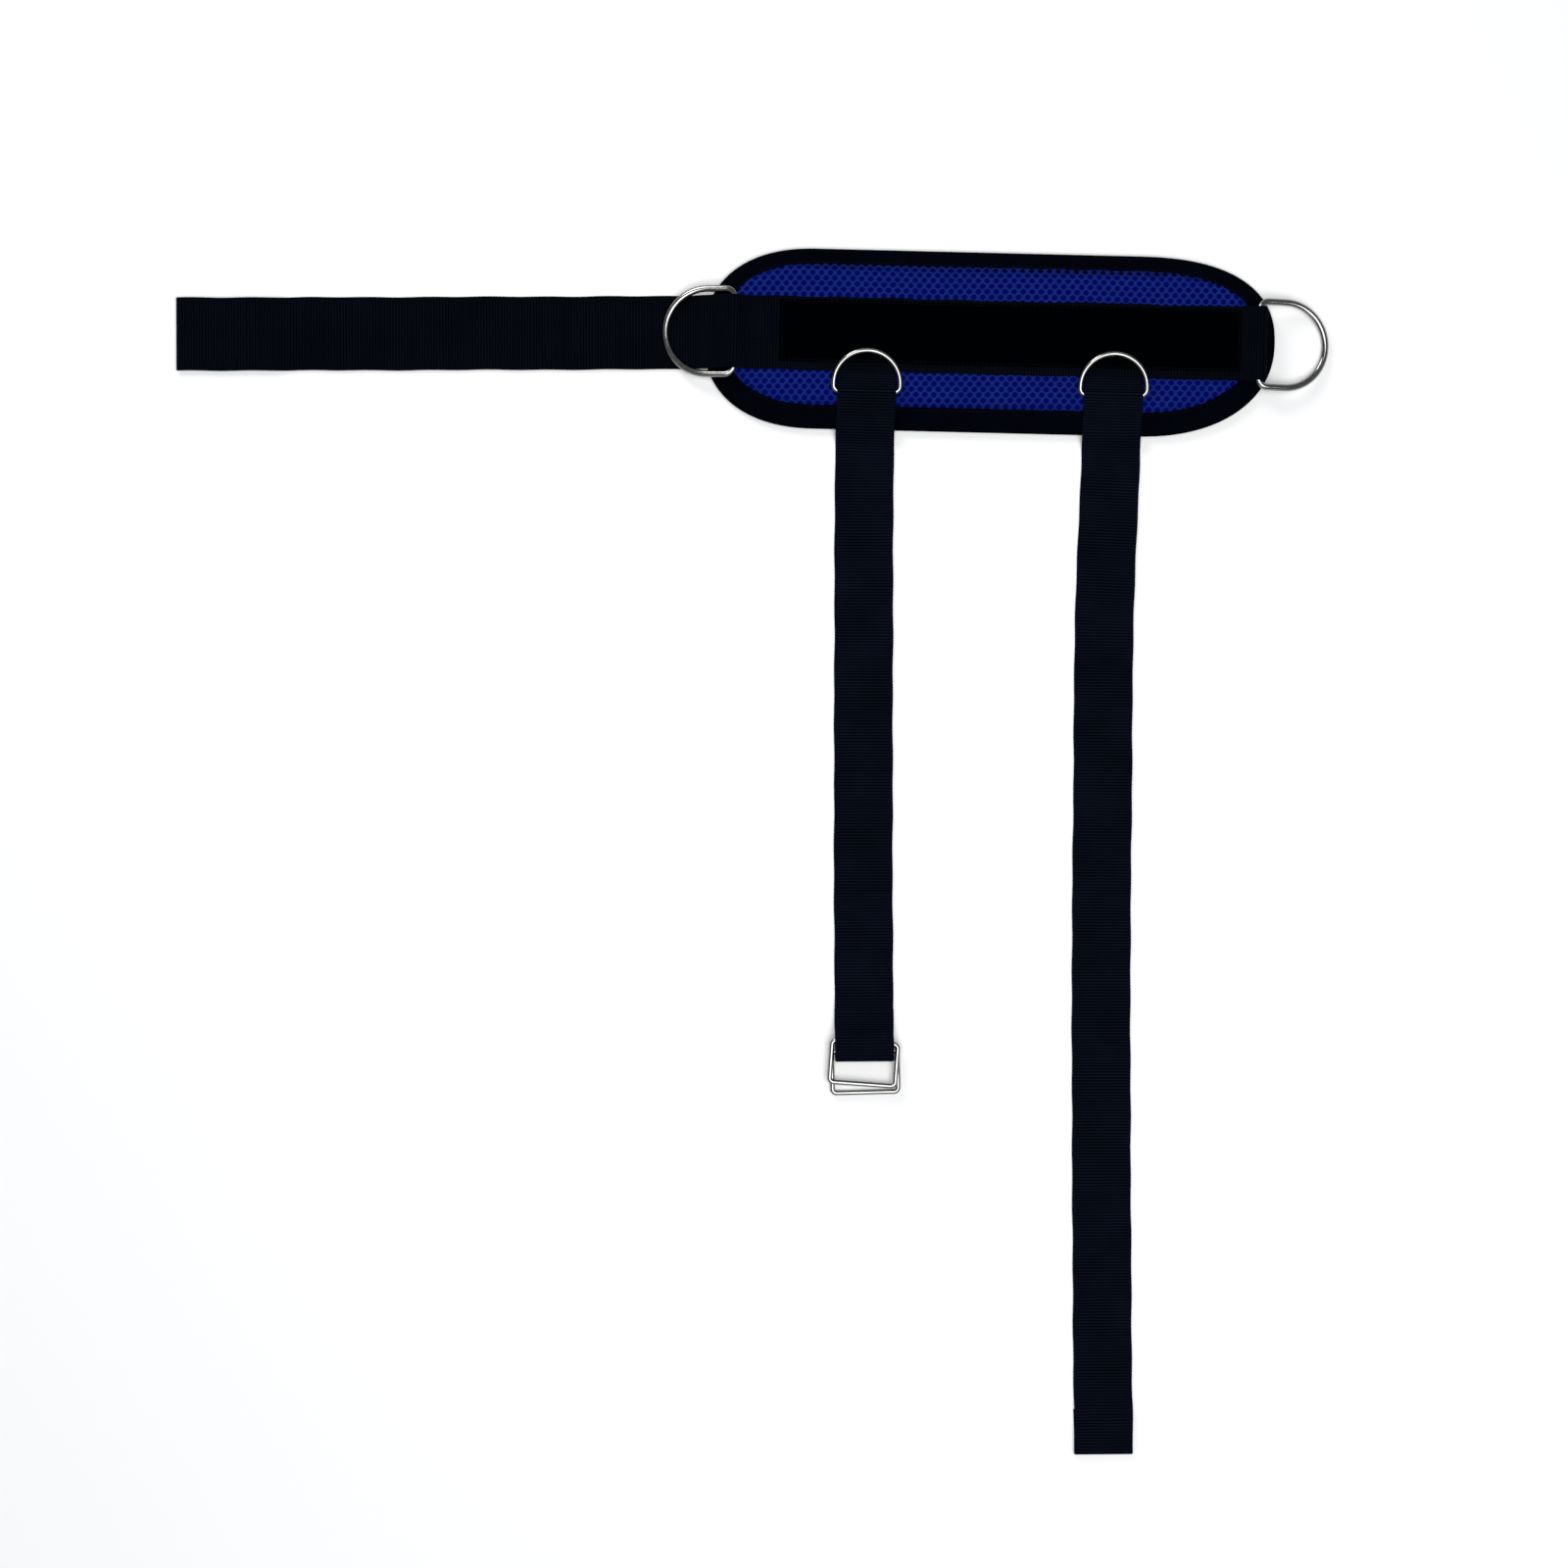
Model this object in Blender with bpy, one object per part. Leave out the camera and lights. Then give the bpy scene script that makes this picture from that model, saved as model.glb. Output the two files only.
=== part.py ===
"""A padded cuff with a long closing strap and two lifting straps, lying open with its skin side down.

X runs along the pad, Y across it and Z up. The origin is the middle of the pad's underside. Webbing is
one continuous length in use; here it is cut into short lengths that hinge on each other, so it can bend.
"""
import math

import bmesh
import bpy
from mathutils import Matrix, Vector

GAP = 0.0003  # between pieces that touch

# pad: foam between a lining and a mesh face, held round the edge by a folded tape
PAD_HALF_LENGTH = 0.195
PAD_HALF_WIDTH = 0.0615
PAD_END_LENGTH = {-1: 0.077, 1: 0.094}  # how long each rounded end is
PAD_END_POWER = 2.3  # 2 would be an ellipse, and more is squarer
PAD_END_STEPS = 22
RIGHT_END_RISE = 0.0045  # how far the right end's tip lies towards +Y
FLEX_X = 0.003  # where the pad is cut in two halves, which hinge along the cut's lower edge
FLEX_GAP = 0.0008
BINDING_WIDTH = 0.0134
BINDING_SHIFT = 0.0028  # the tape shows wider along the lower edge by twice this
BINDING_TOP = 0.0061
TAPE = 0.0008
RIM = 0.0014  # from the tape's outside to the layers in it
LINING_TOP = 0.0019
FOAM_RIM_TOP = 0.0034
FOAM_TOP = 0.0072
MESH_RIM_TOP = 0.0050
MESH_TOP = 0.0092
MESH_SHEET = 0.0015
SLOPE = 0.0070  # how far in from the tape the pad reaches its full height
SEAM_INSET = 0.0109
THREAD = 0.0004

# webbing
WEBBING = 0.0015
MAIN_WIDTH = 0.050
LIFT_WIDTH = 0.0400
STRAP_Y = 0.0025  # middle of the main strap on the pad
JOINT_GAP = 0.0015  # between hinged lengths of webbing
LOOP_STRIP_WIDTH = 0.042
LOOP_STRIP_Y = 0.0043
LOOP_STRIP_LEFT = -0.143
LOOP_STRIP_RIGHT = 0.171
HOOK_STRIP = 0.0012
HOOK_STRIP_LENGTH = 0.068

FLOOR_Z = WEBBING / 2  # height of the middle of webbing that lies on the floor
PAD_Z = MESH_TOP + GAP + WEBBING / 2  # and of webbing that lies on the pad
LEFT_CUT_X = FLEX_X - FLEX_GAP / 2
RIGHT_CUT_X = FLEX_X + FLEX_GAP / 2
LAYER = WEBBING + GAP  # from one layer's middle to the next one's

# wire rings: wire, half the width and the depth between the wire's middles, and corner
BIG_RING = {"wire": 0.0045, "half_width": 0.0290, "depth": 0.0478, "corner": 0.0064}
SMALL_RING = {"wire": 0.0034, "half_width": 0.0226, "depth": 0.0280, "corner": 0.0040}
SLIDE_RING = {"wire": 0.0033, "half_width": 0.0224, "depth": 0.0285, "corner": 0.0028}
BIG_LEFT_BAR = Vector((-0.1739, STRAP_Y, 0.0118))
BIG_RIGHT_BAR = Vector((0.1829, STRAP_Y, 0.0130))
SMALL_LEFT_BAR = Vector((-0.0830, -0.0362, 0.0117))
SMALL_RIGHT_BAR = Vector((0.0848, -0.0345, 0.0117))
BIG_LEFT_TILT = -9.3  # degrees that the arc stands above the bar's level
BIG_RIGHT_TILT = -12.9
SMALL_TILT = 15.0
SLIDE_FRONT_TILT = -2.5
SLIDE_REAR_TILT = -3.5
SLIDE_FRONT_YAW = -4.5  # degrees that each slide ring is turned on the strap
SLIDE_REAR_YAW = 1.1
BAR_PLAY = 0.0008  # round a ring's bar in its tunnel

# where the lengths of webbing hinge, from the pad outwards, and where they end
TAIL_LEAN = math.radians(1.59)
TAIL_HINGES_X = [-0.232, -0.313, -0.394, -0.475]
TAIL_END_X = -0.555
LEFT_STRAP_HINGES = [(-0.0833, -0.077), (-0.0811, -0.181), (-0.0788, -0.285), (-0.0763, -0.389)]
LEFT_STRAP_END = (-0.0731, -0.4925)
RIGHT_STRAP_HINGES = [(0.0852, -0.077), (0.0833, -0.190), (0.0852, -0.303),
                      (0.0869, -0.416), (0.0898, -0.530), (0.0931, -0.643)]
RIGHT_STRAP_END = (0.0968, -0.757)
HEM_LENGTH = 0.031
FOLDED_TAIL = 0.0355  # from the end loop's fold back to the cut end under the strap

FINISHES = {  # colour, roughness and metallic value
    "webbing": ((0.006, 0.007, 0.013), 0.75, 0.0),
    "binding": ((0.004, 0.004, 0.006), 0.85, 0.0),
    "mesh": ((0.010, 0.030, 0.420), 0.70, 0.0),
    "lining": ((0.008, 0.009, 0.014), 0.90, 0.0),
    "foam": ((0.150, 0.150, 0.155), 0.95, 0.0),
    "pile": ((0.002, 0.002, 0.003), 0.95, 0.0),
    "hook": ((0.010, 0.010, 0.012), 0.60, 0.0),
    "thread": ((0.006, 0.006, 0.010), 0.60, 0.0),
    "plated": ((0.760, 0.750, 0.730), 0.15, 1.0),
}


def clear_scene():
    for old in list(bpy.data.objects):
        bpy.data.objects.remove(old, do_unlink=True)


def finish(name, kind):
    """A material of the piece's own, in one of the finishes."""
    colour, roughness, metallic = FINISHES[kind]
    material = bpy.data.materials.new(name)
    material.use_nodes = True
    shader = material.node_tree.nodes["Principled BSDF"]
    shader.inputs["Base Color"].default_value = (*colour, 1.0)
    shader.inputs["Roughness"].default_value = roughness
    shader.inputs["Metallic"].default_value = metallic
    return material


def add_piece(name, shape, kind, origin=(0, 0, 0)):
    """Makes an object of a closed bmesh in world space, with its own origin at a joint's axis."""
    bmesh.ops.recalc_face_normals(shape, faces=shape.faces)
    bmesh.ops.translate(shape, verts=shape.verts, vec=-Vector(origin))
    mesh = bpy.data.meshes.new(name)
    shape.to_mesh(mesh)
    shape.free()
    mesh.materials.append(finish(name, kind))
    piece = bpy.data.objects.new(name, mesh)
    piece.location = origin
    bpy.context.scene.collection.objects.link(piece)
    return piece


def loft(name, rings, kind, origin=(0, 0, 0)):
    """A solid through rings of equally many points, with a face over the first and the last."""
    shape = bmesh.new()
    loops = [[shape.verts.new(point) for point in ring] for ring in rings]
    for near, far in zip(loops, loops[1:]):
        for i in range(len(near)):
            j = (i + 1) % len(near)
            shape.faces.new((near[i], near[j], far[j], far[i]))
    shape.faces.new(loops[0])
    shape.faces.new(loops[-1])
    return add_piece(name, shape, kind, origin)


# pad

def half_outline(side, inset):
    """The outline of one half of the pad, this far in from its edge, from the top round the end."""
    end = PAD_END_LENGTH[side] - inset
    start = PAD_HALF_LENGTH - PAD_END_LENGTH[side]
    half_width = PAD_HALF_WIDTH - inset
    shift = BINDING_SHIFT * min(inset / BINDING_WIDTH, 1.0)
    cut = LEFT_CUT_X if side < 0 else RIGHT_CUT_X
    points = [(cut, half_width + shift)]
    for step in range(PAD_END_STEPS + 1):
        turn = math.pi * (0.5 - step / PAD_END_STEPS)
        along = abs(math.cos(turn)) ** (2 / PAD_END_POWER)
        across = math.copysign(abs(math.sin(turn)) ** (2 / PAD_END_POWER), turn)
        rise = RIGHT_END_RISE * along ** 2 if side > 0 else 0
        points.append((side * (start + end * along), half_width * across + shift + rise))
    points.append((cut, -half_width + shift))
    return points


def pad_layer(name, side, profile, kind):
    """One layer of the pad: a solid through outlines at each (inset, height)."""
    rings = [[(x, y, height) for x, y in half_outline(side, inset)] for inset, height in profile]
    return loft(name, rings, kind)


def pad_edge(name, side, section, kind):
    """Tape or thread that follows the pad's edge, with a section of (inset, height) points."""
    outlines = [half_outline(side, inset) for inset, _ in section]
    heights = [height for _, height in section]
    rings = [[(x, y, height) for (x, y), height in zip(across, heights)] for across in zip(*outlines)]
    return loft(name, rings, kind)


def make_pad_half(side, hand):
    inner = BINDING_WIDTH + 0.0004
    full = inner + SLOPE
    pad_layer(f"lining_{hand}", side, [
        (inner + 0.0002, 0), (inner, TAPE + GAP), (RIM, TAPE + GAP), (RIM, LINING_TOP)], "lining")
    pad_layer(f"foam_core_{hand}", side, [
        (RIM, LINING_TOP + GAP), (RIM, FOAM_RIM_TOP), (inner + 0.0009, FOAM_RIM_TOP),
        (full + 0.0010, FOAM_TOP)], "foam")
    pad_layer(f"mesh_face_{hand}", side, [
        (full + 0.0006, FOAM_TOP + GAP), (inner + 0.0005, FOAM_RIM_TOP + GAP), (RIM, FOAM_RIM_TOP + GAP),
        (RIM, MESH_RIM_TOP), (inner, MESH_RIM_TOP), (inner + 0.0016, MESH_RIM_TOP + MESH_SHEET),
        (full, MESH_TOP)], "mesh")
    pad_edge(f"edge_binding_{hand}", side, [
        (0, 0.0010), (0, BINDING_TOP - 0.0010), (0.0006, BINDING_TOP), (BINDING_WIDTH, BINDING_TOP),
        (BINDING_WIDTH, BINDING_TOP - TAPE), (TAPE, BINDING_TOP - TAPE), (TAPE, TAPE),
        (BINDING_WIDTH, TAPE), (BINDING_WIDTH, 0), (0.0006, 0)], "binding")
    low = BINDING_TOP + GAP
    pad_edge(f"binding_seam_{hand}", side, [
        (SEAM_INSET, low), (SEAM_INSET, low + THREAD), (SEAM_INSET + 2 * THREAD, low + THREAD),
        (SEAM_INSET + 2 * THREAD, low)], "thread")


# webbing

def offsets(route, across):
    """For each point of a route, the step to a line one unit above it, mitred at the bends."""
    steps = []
    for i, point in enumerate(route):
        before = (point - route[max(i - 1, 0)]).normalized()
        after = (route[min(i + 1, len(route) - 1)] - point).normalized()
        along = (before + after).normalized()
        stretch = along.dot(after if after.length else before)
        steps.append(along.cross(across[i]).normalized() / stretch)
    return steps


def ribbon(name, route, across, width, thickness, kind, origin=(0, 0, 0)):
    """A flat strip along the points of its middle, with the direction across it at each point."""
    rings = []
    for point, step, sideways in zip(route, offsets(route, across), across):
        up = step * thickness / 2
        side = sideways * width / 2
        rings.append([point + side + up, point - side + up, point - side - up, point + side - up])
    return loft(name, rings, kind, origin)


def raised(route, across, height):
    """The route of a strip that lies this much higher on another."""
    return [point + step * height for point, step in zip(route, offsets(route, across))]


def arc(centre_x, centre_y, radius, start, end, steps):
    """Points round an arc, with its angles in degrees."""
    turns = [math.radians(start + (end - start) * i / steps) for i in range(steps + 1)]
    return [(centre_x + radius * math.cos(t), centre_y + radius * math.sin(t)) for t in turns]


def bar_hump(centre_along, centre_z, wire, start, end, steps=4):
    """Points of webbing's middle where it passes over a ring's bar."""
    return arc(centre_along, centre_z, wire / 2 + BAR_PLAY + WEBBING / 2, start, end, steps)


def tail_point(x, z):
    """A point on the middle of the tail, which leans a little from the pad's length."""
    drop = (-PAD_HALF_LENGTH - x) * math.tan(TAIL_LEAN)
    return Vector((x, STRAP_Y - max(drop, 0), z))


TAIL_ACROSS = Vector((-math.sin(TAIL_LEAN), math.cos(TAIL_LEAN), 0))
ACROSS_Y = Vector((0, 1, 0))
ACROSS_X = Vector((1, 0, 0))


def main_strap_left_route():
    """Height of the main strap's middle along X, from the first hinge to the middle of the pad."""
    bar = BIG_LEFT_BAR
    root = SMALL_LEFT_BAR.x
    half = LIFT_WIDTH / 2
    return [
        (TAIL_HINGES_X[0] + JOINT_GAP / 2, FLOOR_Z), (-0.218, FLOOR_Z), (-0.214, 0.0009), (-0.210, 0.0014),
        (-0.205, 0.0029), (-0.200, 0.0054), (-0.1955, 0.0072), (-0.190, 0.0079),
        *bar_hump(bar.x, bar.z, BIG_RING["wire"], 130, 50), (-0.1639, 0.0106), (-0.1589, PAD_Z),
        (root - half - 0.009, PAD_Z), (root - half - 0.0025, PAD_Z + LAYER),
        (root + half + 0.0025, PAD_Z + LAYER), (root + half + 0.009, PAD_Z), (LEFT_CUT_X, PAD_Z)]


def main_strap_right_route():
    """The same from the middle of the pad to the fold round the big ring's bar, and back under."""
    bar = BIG_RIGHT_BAR
    root = SMALL_RIGHT_BAR.x
    half = LIFT_WIDTH / 2
    hump = bar_hump(bar.x, bar.z, BIG_RING["wire"], 125, 90, 2)
    radius = hump[-1][1] - bar.z
    return [
        (RIGHT_CUT_X, PAD_Z), (root - half - 0.009, PAD_Z), (root - half - 0.0025, PAD_Z + LAYER),
        (root + half + 0.0025, PAD_Z + LAYER), (root + half + 0.009, PAD_Z), (0.143, PAD_Z),
        (0.149, PAD_Z + LAYER), (0.170, PAD_Z + LAYER), *hump,
        *arc(bar.x + 0.0010, bar.z, radius, 90, -90, 6), (0.1775, PAD_Z - 0.0001), (0.1505, PAD_Z)]


def trimmed(route, low, high):
    """The part of an (x, height) route between two x values."""
    def height(x):
        for (x0, z0), (x1, z1) in zip(route, route[1:]):
            if x0 <= x <= x1:
                return z0 + (z1 - z0) * (x - x0) / (x1 - x0)
        raise ValueError("x is off the route")

    inner = [(x, z) for x, z in route if low + 0.0005 < x < high - 0.0005]
    return [(low, height(low)), *inner, (high, height(high))]


def make_main_strap():
    for hand, route in (("left", main_strap_left_route()), ("right", main_strap_right_route())):
        points = [tail_point(x, z) for x, z in route]
        across = [TAIL_ACROSS if x < -PAD_HALF_LENGTH else ACROSS_Y for x, _ in route]
        ribbon(f"main_strap_{hand}", points, across, MAIN_WIDTH, WEBBING, "webbing")


def make_loop_strip():
    """The pile strip that the hook strip grips, in the pad's two halves."""
    spans = {
        "left": trimmed(main_strap_left_route(), LOOP_STRIP_LEFT, LEFT_CUT_X),
        "right": trimmed(main_strap_right_route()[:11], RIGHT_CUT_X, LOOP_STRIP_RIGHT)}
    for hand, route in spans.items():
        points = [Vector((x, LOOP_STRIP_Y, z)) for x, z in route]
        across = [ACROSS_Y] * len(points)
        ribbon(f"loop_strip_{hand}", raised(points, across, LAYER), across, LOOP_STRIP_WIDTH, WEBBING,
               "pile")


def make_tail():
    """Four hinged lengths, the last one raised by the hook strip under it."""
    ends = TAIL_HINGES_X + [TAIL_END_X - JOINT_GAP / 2]
    raise_by = HOOK_STRIP + GAP
    for number, (near, far) in enumerate(zip(ends, ends[1:]), 1):
        route = [(far + JOINT_GAP / 2, FLOOR_Z), (near - JOINT_GAP / 2, FLOOR_Z)]
        if number == len(TAIL_HINGES_X):
            route = [(far + JOINT_GAP / 2, FLOOR_Z + raise_by), (near - 0.010, FLOOR_Z + raise_by),
                     (near - 0.004, FLOOR_Z), (near - JOINT_GAP / 2, FLOOR_Z)]
        points = [tail_point(x, z) for x, z in route]
        ribbon(f"tail_webbing_{number}", points, [TAIL_ACROSS] * len(points), MAIN_WIDTH, WEBBING,
               "webbing", tail_point(near, FLOOR_Z))
    hook = [tail_point(TAIL_END_X + 0.001 + reach, HOOK_STRIP / 2) for reach in (0, HOOK_STRIP_LENGTH)]
    ribbon("hook_strip", hook, [TAIL_ACROSS] * 2, LOOP_STRIP_WIDTH, HOOK_STRIP, "hook",
           tail_point(TAIL_HINGES_X[-1], FLOOR_Z))


def root_route(bar):
    """Along Y, a lifting strap from under the main strap over a small ring's bar to its first hinge."""
    return [
        (0.006, PAD_Z), (bar.y + 0.0165, PAD_Z), (bar.y + 0.0115, PAD_Z + 0.0002),
        *bar_hump(bar.y, bar.z, SMALL_RING["wire"], 45, 140), (-0.0570, 0.0080), (-0.0610, 0.0073),
        (-0.0645, 0.0056), (-0.0690, 0.0024), (-0.0720, 0.0011), (-0.077 + JOINT_GAP / 2, FLOOR_Z)]


def make_root(hand, bar, hinge):
    """A lifting strap's sewn root."""
    lean = (hinge[0] - bar.x) / (hinge[1] + PAD_HALF_WIDTH)
    points = [Vector((bar.x + min(y + PAD_HALF_WIDTH, 0) * lean, y, z)) for y, z in root_route(bar)]
    ribbon(f"{hand}_strap_root", points, [ACROSS_X] * len(points), LIFT_WIDTH, WEBBING, "webbing")


def strap_frame(near, far):
    """How a length of lifting strap lies: from its hinge outwards along Y, across along X."""
    start = Vector((*near, 0))
    along = (Vector((*far, 0)) - start).normalized()
    across = Vector((-along.y, along.x, 0))
    return start, along, across


def lift_length(name, near, far, route, kind="webbing", width=LIFT_WIDTH, thickness=WEBBING):
    """One length of lifting strap, with its route as (distance from the hinge, height)."""
    start, along, across = strap_frame(near, far)
    points = [start + along * reach + Vector((0, 0, z)) for reach, z in route]
    ribbon(name, points, [across] * len(points), width, thickness, kind, start + Vector((0, 0, FLOOR_Z)))


def end_loop_route(length):
    """The left strap's last length: over its own tail, up over both rings' bars and back under."""
    top = FLOOR_Z + LAYER
    crown = 0.0103
    radius = (crown - FLOOR_Z) / 2
    fold = length - radius - WEBBING / 2
    cut = length - FOLDED_TAIL
    return [
        (JOINT_GAP / 2, FLOOR_Z), (cut - 0.007, FLOOR_Z), (cut - 0.001, top), (length - 0.0265, top),
        (length - 0.018, crown), *arc(fold, crown - radius, radius, 90, -90, 8), (cut, FLOOR_Z)]


def hem_route(length):
    """The right strap's last length: over its own hem, round the fold and back under."""
    top = FLOOR_Z + LAYER
    radius = LAYER / 2
    fold = length - radius - WEBBING / 2
    cut = length - HEM_LENGTH
    return [
        (JOINT_GAP / 2, FLOOR_Z), (cut - 0.007, FLOOR_Z), (cut - 0.001, top),
        *arc(fold, top - radius, radius, 90, -90, 6), (cut, FLOOR_Z)]


def make_lifting_strap(hand, hinges, end, last_route):
    """The hinged lengths of one lifting strap."""
    ends = hinges + [end]
    for number, (near, far) in enumerate(zip(ends, ends[1:]), 1):
        length = (Vector(far) - Vector(near)).length
        route = [(JOINT_GAP / 2, FLOOR_Z), (length - JOINT_GAP / 2, FLOOR_Z)]
        if number == len(hinges):
            route = last_route(length)
        lift_length(f"{hand}_strap_webbing_{number}", near, far, route)


# thread

def seam_row(name, near, far, reach, surface_z, width):
    """A row of stitches straight across a lifting strap, lying on its upper face."""
    z = surface_z + GAP + THREAD / 2
    lift_length(name, near, far, [(reach, z), (reach + 2 * THREAD, z)], "thread", width, THREAD)


def make_seams():
    width = LIFT_WIDTH - 0.005
    top = 2 * WEBBING + GAP
    left = (LEFT_STRAP_HINGES[-1], LEFT_STRAP_END)
    right = (RIGHT_STRAP_HINGES[-1], RIGHT_STRAP_END)
    left_length = (Vector(left[1]) - Vector(left[0])).length
    right_length = (Vector(right[1]) - Vector(right[0])).length
    seam_row("end_loop_seam_upper", *left, left_length - 0.0345, top, width)
    seam_row("end_loop_seam_lower", *left, left_length - 0.0285, top, width)
    seam_row("hem_seam_upper", *right, right_length - HEM_LENGTH + 0.0015, top, width)
    seam_row("hem_seam_lower", *right, right_length - HEM_LENGTH + 0.0055, top, width)
    z = PAD_Z + WEBBING / 2 + GAP + THREAD / 2
    tack = [Vector((x, STRAP_Y, z)) for x in (-0.1560, -0.1560 + 2 * THREAD)]
    ribbon("big_ring_tack", tack, [ACROSS_Y] * 2, MAIN_WIDTH - 0.006, THREAD, "thread")


# rings

def wire_ring(name, outline, wire, bar, heading, tilt):
    """A closed wire ring that lies from its bar in the heading (degrees from +Y), tilted up or down."""
    curve = bpy.data.curves.new(name, "CURVE")
    curve.dimensions = "3D"
    curve.bevel_depth = wire / 2
    curve.bevel_resolution = 3
    curve.use_fill_caps = True
    curve.materials.append(finish(name, "plated"))
    spline = curve.splines.new("POLY")
    spline.points.add(len(outline) - 1)
    for point, (x, y) in zip(spline.points, outline):
        point.co = (x, y, 0, 1)
    spline.use_cyclic_u = True
    ring = bpy.data.objects.new(name, curve)
    turn = Matrix.Rotation(math.radians(heading), 4, "Z") @ Matrix.Rotation(math.radians(tilt), 4, "X")
    ring.matrix_world = Matrix.Translation(bar) @ turn
    bpy.context.scene.collection.objects.link(ring)
    return ring


def d_outline(half_width, depth, corner):
    """A D with its bar along X through the origin and its arc towards +Y."""
    inner = half_width - corner
    return [
        *arc(inner, corner, corner, -90, 0, 4), *arc(0, depth - half_width, half_width, 0, 180, 16),
        *arc(-inner, corner, corner, 180, 270, 4)]


def slide_outline(half_width, depth, corner):
    """A rectangle with round corners and its bar along X through the origin."""
    inner = half_width - corner
    return [
        *arc(inner, corner, corner, -90, 0, 4), *arc(inner, depth - corner, corner, 0, 90, 4),
        *arc(-inner, depth - corner, corner, 90, 180, 4), *arc(-inner, corner, corner, 180, 270, 4)]


def make_d_rings():
    for name, size, bar, heading, tilt in (
            ("big_d_ring_left", BIG_RING, BIG_LEFT_BAR, 90, BIG_LEFT_TILT),
            ("big_d_ring_right", BIG_RING, BIG_RIGHT_BAR, -90, BIG_RIGHT_TILT),
            ("small_d_ring_left", SMALL_RING, SMALL_LEFT_BAR, 0, SMALL_TILT),
            ("small_d_ring_right", SMALL_RING, SMALL_RIGHT_BAR, 0, SMALL_TILT)):
        outline = d_outline(size["half_width"], size["depth"], size["corner"])
        wire_ring(name, outline, size["wire"], bar, heading, tilt)


def make_slide_rings():
    """Two rectangular rings with their bars in the left strap's end loop, the front one on the rear one."""
    start, along, across = strap_frame(LEFT_STRAP_HINGES[-1], LEFT_STRAP_END)
    length = (Vector((*LEFT_STRAP_END, 0)) - start).length
    strap_heading = 180 + math.degrees(math.atan2(across.y, across.x))
    outline = slide_outline(SLIDE_RING["half_width"], SLIDE_RING["depth"], SLIDE_RING["corner"])
    for name, back, z, sideways, yaw, tilt in (
            ("slide_ring_front", 0.0133, 0.0075, 0.0005, SLIDE_FRONT_YAW, SLIDE_FRONT_TILT),
            ("slide_ring_rear", 0.0073, 0.00355, 0.0, SLIDE_REAR_YAW, SLIDE_REAR_TILT)):
        bar = start + along * (length - back) + across * sideways + Vector((0, 0, z))
        wire_ring(name, outline, SLIDE_RING["wire"], bar, strap_heading + yaw, tilt)


def main():
    clear_scene()
    make_pad_half(-1, "left")
    make_pad_half(1, "right")
    make_main_strap()
    make_loop_strip()
    make_tail()
    make_root("left", SMALL_LEFT_BAR, LEFT_STRAP_HINGES[0])
    make_root("right", SMALL_RIGHT_BAR, RIGHT_STRAP_HINGES[0])
    make_lifting_strap("left", LEFT_STRAP_HINGES, LEFT_STRAP_END, end_loop_route)
    make_lifting_strap("right", RIGHT_STRAP_HINGES, RIGHT_STRAP_END, hem_route)
    make_seams()
    make_d_rings()
    make_slide_rings()


main()
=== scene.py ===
"""Looks for a padded cuff with a closing strap and two lifting straps, made round its fixed frame.

X runs along the pad, Y across it and Z up, in metres. The cuff lies open with its skin side down.
"""
import math

import bmesh
import bpy
import numpy as np
from mathutils import Matrix, Vector
from mathutils.bvhtree import BVHTree


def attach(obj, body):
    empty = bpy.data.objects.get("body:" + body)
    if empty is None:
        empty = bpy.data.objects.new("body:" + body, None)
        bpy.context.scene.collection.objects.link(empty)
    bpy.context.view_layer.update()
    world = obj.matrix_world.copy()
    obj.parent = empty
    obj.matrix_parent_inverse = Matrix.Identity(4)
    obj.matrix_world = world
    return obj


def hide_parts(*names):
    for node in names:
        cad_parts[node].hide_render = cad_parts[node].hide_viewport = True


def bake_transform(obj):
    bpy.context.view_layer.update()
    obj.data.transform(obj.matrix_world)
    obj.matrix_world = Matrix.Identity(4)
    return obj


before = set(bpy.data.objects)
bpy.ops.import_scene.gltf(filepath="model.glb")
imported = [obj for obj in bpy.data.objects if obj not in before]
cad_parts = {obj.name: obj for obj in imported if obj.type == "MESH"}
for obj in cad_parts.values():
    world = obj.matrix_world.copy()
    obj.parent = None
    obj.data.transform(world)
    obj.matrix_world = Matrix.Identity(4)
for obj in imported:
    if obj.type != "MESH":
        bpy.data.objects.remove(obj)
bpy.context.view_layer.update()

bl_info = {
    "name": "Padded Strap Cuff",
    "version": (1, 0, 0),
    "blender": (4, 5, 0),
    "location": "3D View > Sidebar > Cuff",
    "description": "Makes a padded cuff with webbing straps and wire rings",
    "category": "Add Mesh",
}

# pad outline
PAD_HALF_LENGTH = 0.195
PAD_HALF_WIDTH = 0.0615
LEFT_END, RIGHT_END = 0.077, 0.094  # how long each rounded end is
RIGHT_RISE = 0.0045  # how far the right end's tip lies towards +Y
END_POWER = 2.3  # 2 would be an ellipse, and more is squarer
BINDING_WIDTH = 0.0134
BINDING_SHIFT = 0.0028  # the tape shows wider along the lower edge by twice this

# layers
GAP = 0.0003
WEBBING = 0.0015
LAYER = WEBBING + GAP
FLOOR_Z = WEBBING / 2
PAD_Z = 0.0092 + GAP + WEBBING / 2
HOOK_STRIP = 0.0012
STRAP_Y = 0.0025
MAIN_WIDTH = 0.050
LIFT_WIDTH = 0.0400
BAR_PLAY = 0.0008

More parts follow.
